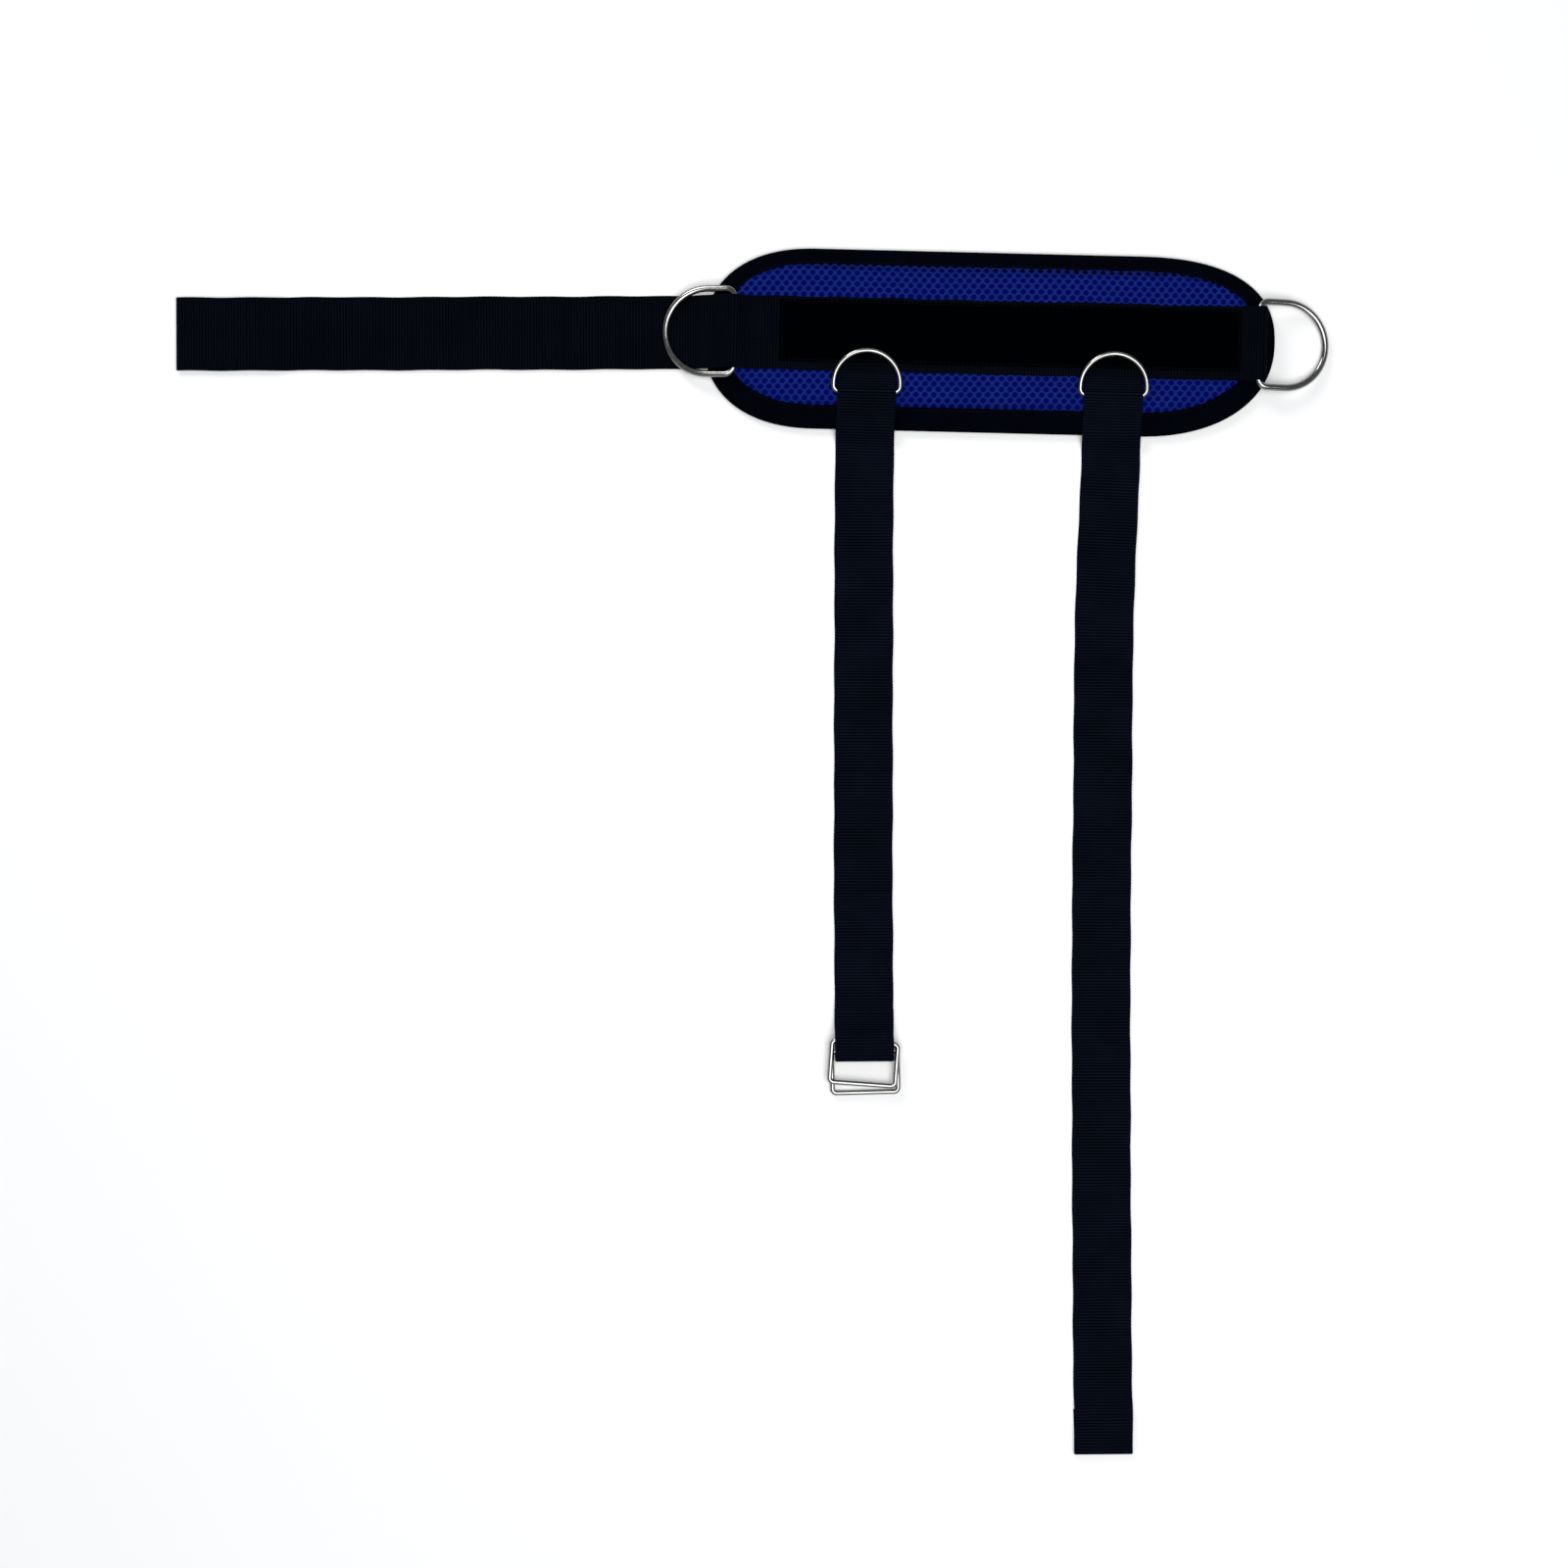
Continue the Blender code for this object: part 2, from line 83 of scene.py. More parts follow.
# rings: wire, half the width and the depth between the wire's middles, and corner
BIG_RING = (0.0045, 0.0290, 0.0478, 0.0064)
SMALL_RING = (0.0034, 0.0226, 0.0280, 0.0040)
SLIDE_RING = (0.0033, 0.0224, 0.0285, 0.0028)
BIG_LEFT_BAR = Vector((-0.1739, STRAP_Y, 0.0118))
BIG_RIGHT_BAR = Vector((0.1829, STRAP_Y, 0.0130))
SMALL_LEFT_BAR = Vector((-0.0830, -0.0362, 0.0117))
SMALL_RIGHT_BAR = Vector((0.0848, -0.0345, 0.0117))

# straps
TAIL_LEAN = math.radians(1.59)
TAIL_HINGES = [-0.232, -0.313, -0.394, -0.475]
TAIL_END = -0.555
LEFT_HINGES = [(-0.0833, -0.077), (-0.0811, -0.181), (-0.0788, -0.285), (-0.0763, -0.389)]
LEFT_STRAP_END = (-0.0731, -0.4925)
RIGHT_HINGES = [(0.0852, -0.077), (0.0833, -0.190), (0.0852, -0.303),
                (0.0869, -0.416), (0.0898, -0.530), (0.0931, -0.643)]
RIGHT_STRAP_END = (0.0968, -0.757)
HEM_LENGTH = 0.031
FOLDED_TAIL = 0.0355
PILE_LEFT, PILE_RIGHT, PILE_Y, PILE_WIDTH = -0.143, 0.171, 0.0043, 0.042


def linear(code):
    """An sRGB hex colour as the linear red, green, blue and alpha that a shader takes."""
    parts = [int(code[i:i + 2], 16) / 255 for i in (1, 3, 5)]
    return tuple(c / 12.92 if c <= 0.04045 else ((c + 0.055) / 1.055) ** 2.4 for c in parts) + (1.0,)


def colour(label, says, code):
    return bpy.props.FloatVectorProperty(
        name=label, description=says, subtype="COLOR", size=4, min=0, max=1, default=linear(code))


def size(label, says, value):
    return bpy.props.FloatProperty(
        name=label, description=says, default=value, unit="LENGTH", subtype="DISTANCE", precision=4)


class CuffSizes(bpy.types.PropertyGroup):
    """Sizes of the fine detail, in metres."""
    rib: size("Rib spacing", "Distance between two ribs of the webbing", 0.0020)
    yarn: size("Warp yarn", "Width of a yarn on a rib", 0.0007)
    mesh_pitch: size("Mesh pitch", "Distance between two holes in a row of the mesh face", 0.00603)
    mesh_row: size("Mesh row", "Distance between two rows of holes", 0.0037)
    stitch: size("Stitch length", "Distance between two stitches of a seam", 0.0032)
    thread: size("Thread", "Thickness of the sewing thread", 0.00055)
    voxel: size("Cushion grain", "Voxel size of the swollen cushion", 0.0035)


class CuffColours(bpy.types.PropertyGroup):
    """Colours of each finish."""
    # webbing is the rib colour with a painted highlight on each crest; the next colour is painted shade in the
    # valleys between ribs
    webbing: colour("Webbing", "Crest of a webbing rib", "#0B101D")
    webbing_painted_shade: colour("Webbing valley", "Between two ribs", "#000103")
    binding: colour("Binding", "Edge tape", "#02040C")
    # mesh is the strands' colour with a painted highlight on their crowns; the next colour is the backing's
    # own colour, also painted as shade at the mesh's hole rims
    mesh: colour("Mesh", "Strands of the mesh face", "#172B7B")
    backing_colour_and_painted_shade: colour("Mesh backing", "Cloth seen through the holes", "#000C6E")
    pile: colour("Pile", "Loop side of the closure", "#010204")
    hook: colour("Hook", "Hook side of the closure", "#0B0B0E")
    lining: colour("Lining", "Cloth on the skin side", "#0C0E15")
    thread: colour("Thread", "Sewing thread", "#0B0E18")
    plated: colour("Plating", "Nickel plate on the wire", "#9D9C9A")
    floor: colour("Floor", "Studio floor", "#F8F8F8")


class CuffStage(bpy.types.PropertyGroup):
    """Camera and lights."""
    camera_height: size("Camera height", "Camera above the floor", 2.2)
    view_width: size("View width", "Width of the floor that the camera sees", 1.072)
    key: bpy.props.FloatProperty(name="Overhead light", description="Power of the overhead light",
                                 default=79.0, subtype="POWER")
    side: bpy.props.FloatProperty(name="Side light", description="Power of the side light",
                                  default=13.0, subtype="POWER")


def sizes():
    return bpy.context.scene.cuff_sizes


def colours():
    return bpy.context.scene.cuff_colours


# materials


def add_node(tree, kind, settings=None, links=None):
    """A node with its settings and with links into its sockets."""
    node = tree.nodes.new(kind)
    for key, value in (settings or {}).items():
        if isinstance(key, int) or key in node.inputs:
            node.inputs[key].default_value = value
        else:
            setattr(node, key, value)
    for key, source in (links or {}).items():
        tree.links.new(source, node.inputs[key])
    return node


def start_material(name, **shader):
    """A material with its shader's constant values set, and the tree, shader and Object coordinates."""
    material = bpy.data.materials.new(name)
    material.use_nodes = True
    tree = material.node_tree
    body = tree.nodes["Principled BSDF"]
    for key, value in shader.items():
        body.inputs[key.replace("_", " ")].default_value = value
    place = add_node(tree, "ShaderNodeTexCoord").outputs["Object"]
    return material, tree, body, place


def maths(tree, operation, a, b=None):
    """One sum on two values, either of which may be a socket."""
    values = {i: x for i, x in enumerate((a, b)) if isinstance(x, (int, float))}
    links = {i: x for i, x in enumerate((a, b)) if x is not None and i not in values}
    node = add_node(tree, "ShaderNodeMath", {"operation": operation}, links)
    for i, x in values.items():
        node.inputs[i].default_value = x
    return node.outputs[0]


def blend_colours(tree, factor, low, high):
    node = add_node(tree, "ShaderNodeMix", {"data_type": "RGBA"})
    node.inputs[6].default_value = low
    node.inputs[7].default_value = high
    tree.links.new(factor, node.inputs[0])
    return node.outputs[2]


def noise(tree, place, per_metre, detail=2.0, roughness=0.5):
    return add_node(tree, "ShaderNodeTexNoise",
                    {"Scale": per_metre, "Detail": detail, "Roughness": roughness},
                    {"Vector": place}).outputs["Fac"]


def raise_surface(tree, body, height, distance, strength=1.0):
    bump = add_node(tree, "ShaderNodeBump", {"Distance": distance, "Strength": strength},
                    {"Height": height})
    tree.links.new(bump.outputs["Normal"], body.inputs["Normal"])


def woven_webbing():
    """Nylon webbing, woven with cross ribs and dyed: a painted highlight on each rib's crest, painted shade in
    the valleys between, and a painted shade that darkens the closing strap.
    """
    c, s = colours(), sizes()
    material, tree, body, place = start_material(
        "nylon_webbing_woven", Roughness=0.70, Specular_IOR_Level=0.015)
    weave = add_node(tree, "ShaderNodeAttribute", {"attribute_name": "weave"}).outputs["Vector"]
    parts = add_node(tree, "ShaderNodeSeparateXYZ", None, {0: weave})
    across, ribs, painted_shade_scale = parts.outputs
    column = maths(tree, "SINE", maths(tree, "MULTIPLY", across, math.pi / s.yarn))
    rib = maths(tree, "SINE", maths(tree, "MULTIPLY", ribs, math.pi))
    over_under = maths(tree, "MULTIPLY", column, rib)  # each warp yarn goes over one rib, under the next
    # crest paints a highlight on each rib's top and shade in the valleys between ribs
    crest = maths(tree, "POWER", maths(tree, "ABSOLUTE", rib), 2.2)
    fibre = noise(tree, place, 2600, 3.0)
    cloudy = noise(tree, place, 34, 2.0)
    tone = maths(tree, "ADD", maths(tree, "MULTIPLY", over_under, 0.14), maths(tree, "MULTIPLY", crest, 1.05))
    tone = maths(tree, "ADD", tone, maths(tree, "MULTIPLY", maths(tree, "SUBTRACT", cloudy, 0.5), 0.7))
    tone = maths(tree, "ADD", tone, maths(tree, "MULTIPLY", maths(tree, "SUBTRACT", fibre, 0.5), 0.4))
    # scales the tone by the strap's painted shade: the closing strap is painted darker than the lifting straps
    tone = maths(tree, "MULTIPLY", tone, painted_shade_scale)
    tree.links.new(blend_colours(tree, tone, c.webbing_painted_shade, c.webbing), body.inputs["Base Color"])
    height = maths(tree, "ADD", maths(tree, "MULTIPLY", over_under, 0.7), maths(tree, "MULTIPLY", fibre, 0.5))
    raise_surface(tree, body, height, 0.00012)
    return material


def folded_tape():
    """Polyester tape, plain woven and folded over the edge: flat and matt, with a fine grain."""
    material, tree, body, place = start_material(
        "polyester_tape_woven", Roughness=0.85, Specular_IOR_Level=0.012)
    turned = add_node(tree, "ShaderNodeMapping", {"Rotation": (0, 0, math.radians(45))}, {"Vector": place})
    parts = add_node(tree, "ShaderNodeSeparateXYZ", None, {0: turned.outputs[0]})
    thread = 0.00055  # a yarn is finer than this, and it is drawn coarser so that it shows
    one = maths(tree, "SINE", maths(tree, "MULTIPLY", parts.outputs[0], math.pi / thread))
    two = maths(tree, "SINE", maths(tree, "MULTIPLY", parts.outputs[1], math.pi / thread))
    grain = maths(tree, "MULTIPLY", one, two)
    fibre = noise(tree, place, 1900, 3.0)
    cloudy = noise(tree, place, 60, 2.0)
    tone = maths(tree, "ADD", maths(tree, "MULTIPLY", cloudy, 0.9), maths(tree, "MULTIPLY", fibre, 0.4))
    deep = tuple(0.35 * x for x in colours().binding[:3]) + (1.0,)
    tree.links.new(blend_colours(tree, tone, deep, colours().binding), body.inputs["Base Color"])
    raise_surface(tree, body, maths(tree, "ADD", grain, fibre), 0.00010)
    return material


def knitted_mesh():
    """Polyester spacer mesh, warp knitted: satin strands with fine stitch lines, a painted highlight on their
    crowns and painted shade towards the hole rims.
    """
    c = colours()
    material, tree, body, place = start_material(
        "polyester_mesh_knitted", Roughness=0.50, Specular_IOR_Level=0.03)
    parts = add_node(tree, "ShaderNodeSeparateXYZ", None, {0: place})
    loop = 0.00075  # width of one knitted wale
    wales = maths(tree, "SINE", maths(tree, "MULTIPLY", parts.outputs[0], 2 * math.pi / loop))
    courses = maths(tree, "SINE", maths(tree, "MULTIPLY", parts.outputs[1], 2 * math.pi / (1.4 * loop)))
    knit = maths(tree, "MULTIPLY", maths(tree, "ABSOLUTE", wales), maths(tree, "ABSOLUTE", courses))
    cloudy = noise(tree, place, 90, 2.0)
    crown = add_node(tree, "ShaderNodeAttribute", {"attribute_name": "crown"}).outputs["Fac"]
    # the crown attribute paints light: brighter on the strands' crowns, shaded towards the hole rims
    tone = maths(tree, "MULTIPLY", maths(tree, "POWER", crown, 0.9), 0.85)
    tone = maths(tree, "ADD", tone, maths(tree, "MULTIPLY", knit, 0.3))
    tone = maths(tree, "ADD", tone, maths(tree, "MULTIPLY", maths(tree, "SUBTRACT", cloudy, 0.5), 0.8))
    tree.links.new(blend_colours(tree, tone, c.backing_colour_and_painted_shade, c.mesh), body.inputs["Base Color"])
    raise_surface(tree, body, knit, 0.00016)
    return material


def mesh_backing():
    """The back of the spacer mesh over foam: dyed the same, fuzzy and in shade."""
    c = colours()
    material, tree, body, place = start_material(
        "polyester_backing_knitted", Roughness=0.9, Specular_IOR_Level=0.01)
    fuzz = noise(tree, place, 1500, 4.0, 0.65)
    deep = tuple(0.45 * x for x in c.backing_colour_and_painted_shade[:3]) + (1.0,)
    tree.links.new(blend_colours(tree, fuzz, deep, c.backing_colour_and_painted_shade), body.inputs["Base Color"])
    raise_surface(tree, body, fuzz, 0.0003)
    return material


def brushed_lining():
    """Polyester tricot, knitted and brushed: a soft nap that hides the knit."""
    material, tree, body, place = start_material(
        "polyester_lining_brushed", Roughness=0.92, Specular_IOR_Level=0.03, Sheen_Weight=0.02)
    nap = noise(tree, place, 1400, 4.0, 0.7)
    cloudy = noise(tree, place, 45, 2.0)
    tone = maths(tree, "ADD", maths(tree, "MULTIPLY", nap, 0.6), maths(tree, "MULTIPLY", cloudy, 0.5))
    deep = tuple(0.4 * x for x in colours().lining[:3]) + (1.0,)
    tree.links.new(blend_colours(tree, tone, deep, colours().lining), body.inputs["Base Color"])
    raise_surface(tree, body, nap, 0.0003)
    return material


def loop_pile():
    """Nylon loop pile, knitted and napped: it swallows light, so it is the darkest cloth here."""
    material, tree, body, place = start_material(
        "nylon_pile_napped", Roughness=1.0, Specular_IOR_Level=0.0)
    nap = noise(tree, place, 1300, 5.0, 0.75)
    deep = tuple(0.3 * x for x in colours().pile[:3]) + (1.0,)
    tree.links.new(blend_colours(tree, nap, deep, colours().pile), body.inputs["Base Color"])
    raise_surface(tree, body, nap, 0.0005)
    return material


def moulded_hook():
    """Nylon hooks, woven in and heat cut: slightly shiny plastic."""
    material, tree, body, place = start_material(
        "nylon_hook_cut", Roughness=0.45, Specular_IOR_Level=0.2, IOR=1.53)
    uneven = noise(tree, place, 900, 3.0)
    deep = tuple(0.5 * x for x in colours().hook[:3]) + (1.0,)
    tree.links.new(blend_colours(tree, uneven, deep, colours().hook), body.inputs["Base Color"])
    raise_surface(tree, body, uneven, 0.0001)
    return material


def twisted_thread():
    """Polyester thread, twisted and bonded: a small gloss along each stitch."""
    material, tree, body, place = start_material(
        "polyester_thread_bonded", Roughness=0.5, Specular_IOR_Level=0.04)
    twist = add_node(tree, "ShaderNodeTexWave",
                     {"Scale": 900.0, "Distortion": 1.5, "bands_direction": "DIAGONAL"},
                     {"Vector": place}).outputs["Fac"]
    deep = tuple(0.4 * x for x in colours().thread[:3]) + (1.0,)
    tree.links.new(blend_colours(tree, twist, deep, colours().thread), body.inputs["Base Color"])
    raise_surface(tree, body, twist, 0.00008)
    return material


def plated_wire():
    """Steel wire, drawn, bent and nickel plated: a bright mirror with faint drawing lines and rub marks."""
    # the grey Specular Tint darkens the wire's edges at grazing angles: painted dark edges that stand in for
    # dark surroundings reflected there
    material, tree, body, place = start_material(
        "nickel_plated_wire", Metallic=1.0, Roughness=0.12, Specular_Tint=(0.3, 0.3, 0.3, 1.0))
    rubbed = noise(tree, place, 240, 4.0, 0.6)
    pits = noise(tree, place, 2200, 2.0)
    tone = tuple(0.86 * x for x in colours().plated[:3]) + (1.0,)
    tree.links.new(blend_colours(tree, rubbed, tone, colours().plated), body.inputs["Base Color"])
    rough = add_node(tree, "ShaderNodeMapRange",
                     {"From Min": 0.35, "From Max": 0.7, "To Min": 0.09, "To Max": 0.22}, {"Value": rubbed})
    tree.links.new(rough.outputs[0], body.inputs["Roughness"])
    raise_surface(tree, body, pits, 0.00001)
    return material


MAKERS = {
    "webbing": woven_webbing, "binding": folded_tape, "mesh": knitted_mesh, "foam": mesh_backing,
    "lining": brushed_lining, "pile": loop_pile, "hook": moulded_hook, "thread": twisted_thread,
    "plated": plated_wire}
FINISHES = {}


def finish(slot):
    """The material of a record's slot, made once."""
    if slot not in FINISHES:
        FINISHES[slot] = MAKERS[slot]()
    return FINISHES[slot]


# shapes


def new_piece(name, shape, slot, smooth=True):
    """A finished piece at the origin with its place in its mesh."""
    bmesh.ops.recalc_face_normals(shape, faces=shape.faces)
    for face in shape.faces:
        face.smooth = smooth and len(face.verts) < 12
    mesh = bpy.data.meshes.new(name)
    shape.to_mesh(mesh)
    shape.free()
    mesh.materials.append(finish(slot))
    piece = bpy.data.objects.new(name, mesh)
    bpy.context.scene.collection.objects.link(piece)
    return piece


def rolled_grid(rows, closed_path=False, weave=None):
    """A grid rolled into a tube, so that row follows row and each row closes on itself."""
    count, across = rows.shape[:2]
    shape = bmesh.new()
    bmesh.ops.create_grid(shape, x_segments=across, y_segments=count if closed_path else count - 1, size=1)
    shape.verts.ensure_lookup_table()
    layer = shape.verts.layers.float_vector.new("weave") if weave is not None else None
    targets = {}
    verts = list(shape.verts)
    for index, vert in enumerate(verts):
        j, i = divmod(index, across + 1)
        home = (j % count) * (across + 1) + i % across
        vert.co = rows[j % count, i % across]
        if layer is not None:
            vert[layer] = weave[j % count, i % across]
        if home != index:
            targets[vert] = verts[home]
    bmesh.ops.weld_verts(shape, targetmap=targets)
    bmesh.ops.holes_fill(shape, edges=[e for e in shape.edges if e.is_boundary], sides=0)
    return shape


def arc(centre_x, centre_y, radius, start, end, steps):
    """Points round an arc, with its angles in degrees."""
    turns = [math.radians(start + (end - start) * i / steps) for i in range(steps + 1)]
    return [(centre_x + radius * math.cos(t), centre_y + radius * math.sin(t)) for t in turns]


def outline(q, inset):
    """Points of the pad's outline, moved in by inset; q runs from 0 to 4 over its four stretches."""
    q = np.asarray(q, float) % 4
    inset = np.broadcast_to(np.asarray(inset, float), q.shape)
    stretch, f = np.floor(q).astype(int), q % 1
    turn = np.radians(np.where(stretch == 0, -90 + 180 * f, 90 + 180 * f))
    c = np.sign(np.cos(turn)) * np.abs(np.cos(turn)) ** (2 / END_POWER)
    s = np.sign(np.sin(turn)) * np.abs(np.sin(turn)) ** (2 / END_POWER)
    left, right = -PAD_HALF_LENGTH + LEFT_END, PAD_HALF_LENGTH - RIGHT_END
    x = np.select(
        [stretch == 0, stretch == 1, stretch == 2],
        [right + (RIGHT_END - inset) * c, right + (left - right) * f, left + (LEFT_END - inset) * c],
        left + (right - left) * f)
    y = (PAD_HALF_WIDTH - inset) * np.select([stretch % 2 == 0, stretch == 1], [s, 1.0 + 0 * f], -1.0)
    rise = np.where(stretch == 0, RIGHT_RISE * c ** 2, 0)
    return np.stack([x, y + rise + BINDING_SHIFT * np.minimum(inset / BINDING_WIDTH, 1)], -1)


def even_stations(count, inset=0.006):
    """Values of q that are evenly spaced round the outline, and the length round it."""
    dense = np.linspace(0, 4, 8001)
    points = outline(np.minimum(dense, 3.999999), inset)
    run = np.concatenate([[0], np.cumsum(np.linalg.norm(np.diff(points, axis=0), axis=1))])
    return np.interp(np.arange(count) / count * run[-1], run, dense), run[-1]


def depth_inside(x, y):
    """How far each point is in from the pad's outline, by halving."""
    left, right = -PAD_HALF_LENGTH + LEFT_END, PAD_HALF_LENGTH - RIGHT_END
    beyond = np.maximum(np.maximum(x - right, left - x), 0)
    end = np.where(x > 0, RIGHT_END, LEFT_END)
    low, high = np.full(x.shape, -0.02), np.full(x.shape, 0.0605)
    for _ in range(26):
        mid = (low + high) / 2
        along = beyond / (end - mid)
        lift = BINDING_SHIFT * np.clip(mid / BINDING_WIDTH, 0, 1)
        lift += np.where(x > 0, RIGHT_RISE * np.minimum(along, 1) ** 2, 0)
        reach = along ** END_POWER + (np.abs(y - lift) / (PAD_HALF_WIDTH - mid)) ** END_POWER
        inside = reach < 1
        low, high = np.where(inside, mid, low), np.where(inside, high, mid)
    return low


def flex(piece):
    """Bakes a piece's place into its mesh, and returns it."""
    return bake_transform(piece)


# webbing


def rounded(route, caps=(0.003, 0.0015, 0.0007, 0.0004)):
    """Cuts a route's corners, each time by a quarter of the next stretch or by the cap."""
    points = [Vector(p) for p in route]
    for cap in caps:
        cut = [points[0]]
        for before, here, after in zip(points, points[1:], points[2:]):
            for other in (before, after):
                away = other - here
                cut.append(here + away * min(0.25, cap / max(away.length, 1e-9)))
        points = cut + [points[-1]]
    return np.array(points)


SECTION = (  # across from edge to edge, and the share of the full thickness there
    (-1, 0), (-0.993, 0.5), (-0.975, 0.85), (-0.93, 1), (-0.6, 1), (-0.2, 1), (0.2, 1), (0.6, 1),
    (0.93, 1), (0.975, 0.85), (0.993, 0.5), (1, 0))
RIB_STEPS = (0, 0.1, 0.3, 0.5, 0.7, 0.9)


class Strap:
    """A length of webbing: its route along and up, how that stands in the world, and a painted shade scale
    that darkens its whole colour.
    """

    def __init__(self, route, place, width, painted_shade_scale):
        self.place, self.width, self.painted_shade_scale = place, width, painted_shade_scale
        self.route = rounded(route)
        steps = np.linalg.norm(np.diff(self.route, axis=0), axis=1)
        self.run = np.concatenate([[0], np.cumsum(steps)])
        self.length = self.run[-1]
        self.ribs = round(self.length / sizes().rib)
        self.rib = self.length / self.ribs
        self.turn = int(np.argmax(self.route[:, 0]))  # where it folds back

    def at(self, s):
        """Along, up and the unit step off the surface, at lengths s."""
        near, far = np.clip(s - 0.0002, 0, self.length), np.clip(s + 0.0002, 0, self.length)
        a, z = (np.interp(s, self.run, self.route[:, k]) for k in (0, 1))
        da, dz = (np.interp(far, self.run, self.route[:, k]) - np.interp(near, self.run, self.route[:, k])
                  for k in (0, 1))
        size_of = np.hypot(da, dz)
        return a, z, -dz / size_of, da / size_of

    def reach(self, along):
        """The length at which the strap's upper run passes a place along it."""
        return float(np.interp(along, self.route[:self.turn + 1, 0], self.run[:self.turn + 1]))

    def top(self, along, u, lift=0.0):
        """A point on the upper face, the way along the strap and the way off it."""
        s = self.reach(along)
        a, z, na, nz = self.at(s)
        off = WEBBING / 2 + lift
        point = Vector(self.place(a + na * off, u, z + nz * off))
        ahead = Vector(self.place(a + na * off + 0.0005 * nz, u, z + nz * off - 0.0005 * na))
        out = Vector(self.place(a + na * (off + 0.0005), u, z + nz * (off + 0.0005)))
        return point, (ahead - point).normalized(), (out - point).normalized()

    def piece(self, name, start, end):
        """The webbing from rib number start to rib number end, with six rows of points to a rib."""
        turns = np.concatenate([np.arange(start, end)[:, None] + np.array(RIB_STEPS)]).ravel()
        turns = np.append(turns, end)
        s = turns * self.rib
        a, z, na, nz = self.at(s)
        crest = np.abs(np.sin(np.pi * turns)) ** 0.8
        half = WEBBING / 2 * (0.62 + 0.38 * crest)
        half = np.where((turns <= 0) | (turns >= self.ribs), half * 0.6, half)  # heat-cut ends
        wobble = 0.00018 * np.sin(turns * 0.31) + 0.00012 * np.sin(turns * 0.117 + 2)
        upper = [(u, v) for u, v in SECTION]
        lower = [(u, -v) for u, v in reversed(SECTION[1:-1])]
        rows, weave = [], []
        for u, v in upper + lower:
            side = u * (self.width / 2 + (0.00020 * crest - 0.0001 if abs(u) > 0.99 else 0)) + wobble
            off = v * half
            x, y, height = self.place(a + na * off, side, z + nz * off)
            rows.append(np.stack([x, y, height], -1))
            weave.append(np.stack([side, turns, self.painted_shade_scale + 0 * turns], -1))
        shape = rolled_grid(np.stack(rows, 1), weave=np.stack(weave, 1))
        piece = new_piece(name, shape, "webbing")
        return piece, (self.width, (end - start) * self.rib)

    def rib_at(self, along):
        return round(self.reach(along) / self.rib)


def main_place(along, u, height):
    """Where the main strap lies: straight on the pad, and leaning a little beyond it."""
    along = np.asarray(along, float)
    lean = TAIL_LEAN * np.clip((-PAD_HALF_LENGTH + 0.008 - along) / 0.016, 0, 1)
    drop = np.maximum(-PAD_HALF_LENGTH - along, 0) * math.tan(TAIL_LEAN)
    return along - u * np.sin(lean), STRAP_Y - drop + u * np.cos(lean), height + 0 * along


def bar_hump(along, height, wire, start, end, steps=6):
    return arc(along, height, wire / 2 + BAR_PLAY + WEBBING / 2, start, end, steps)


def lie(start, end, spacing=0.021, rise=0.00035):
    """Points of webbing that lies on the floor with small waves in it."""
    count = max(int(abs(end - start) / spacing), 1)
    along = [start + (end - start) * i / count for i in range(count + 1)]
    return [(a, FLOOR_Z + (rise * (0.5 + 0.5 * math.sin(i * 2.3 + 40 * end)) if 0 < i < count else 0))
            for i, a in enumerate(along)]


def main_route():
    """The whole closing strap: tail, rise on to the pad, both root bumps, and the fold at the right."""
    raise_by = HOOK_STRIP + GAP
    near = TAIL_HINGES[-1]
    left, right = BIG_LEFT_BAR, BIG_RIGHT_BAR
    half = LIFT_WIDTH / 2
    route = [(TAIL_END, FLOOR_Z + raise_by), (near - 0.010, FLOOR_Z + raise_by), *lie(near - 0.004, -0.218),
             (-0.214, 0.0009), (-0.210, 0.0014), (-0.205, 0.0029), (-0.200, 0.0054), (-0.1955, 0.0072),
             (-0.190, 0.0079), *bar_hump(left.x, left.z, BIG_RING[0], 130, 50), (-0.1639, 0.0106),
             (-0.1589, PAD_Z)]
    for root in (SMALL_LEFT_BAR.x, SMALL_RIGHT_BAR.x):
        route += [(root - half - 0.009, PAD_Z), (root - half - 0.0025, PAD_Z + LAYER),
                  (root + half + 0.0025, PAD_Z + LAYER), (root + half + 0.009, PAD_Z)]
    hump = bar_hump(right.x, right.z, BIG_RING[0], 125, 90, 4)
    radius = hump[-1][1] - right.z
    return route + [(0.143, PAD_Z), (0.149, PAD_Z + LAYER), (0.170, PAD_Z + LAYER), *hump,
                    *arc(right.x + 0.0010, right.z, radius, 90, -90, 12), (0.1775, PAD_Z - 0.0001),
                    (0.1505, PAD_Z)]


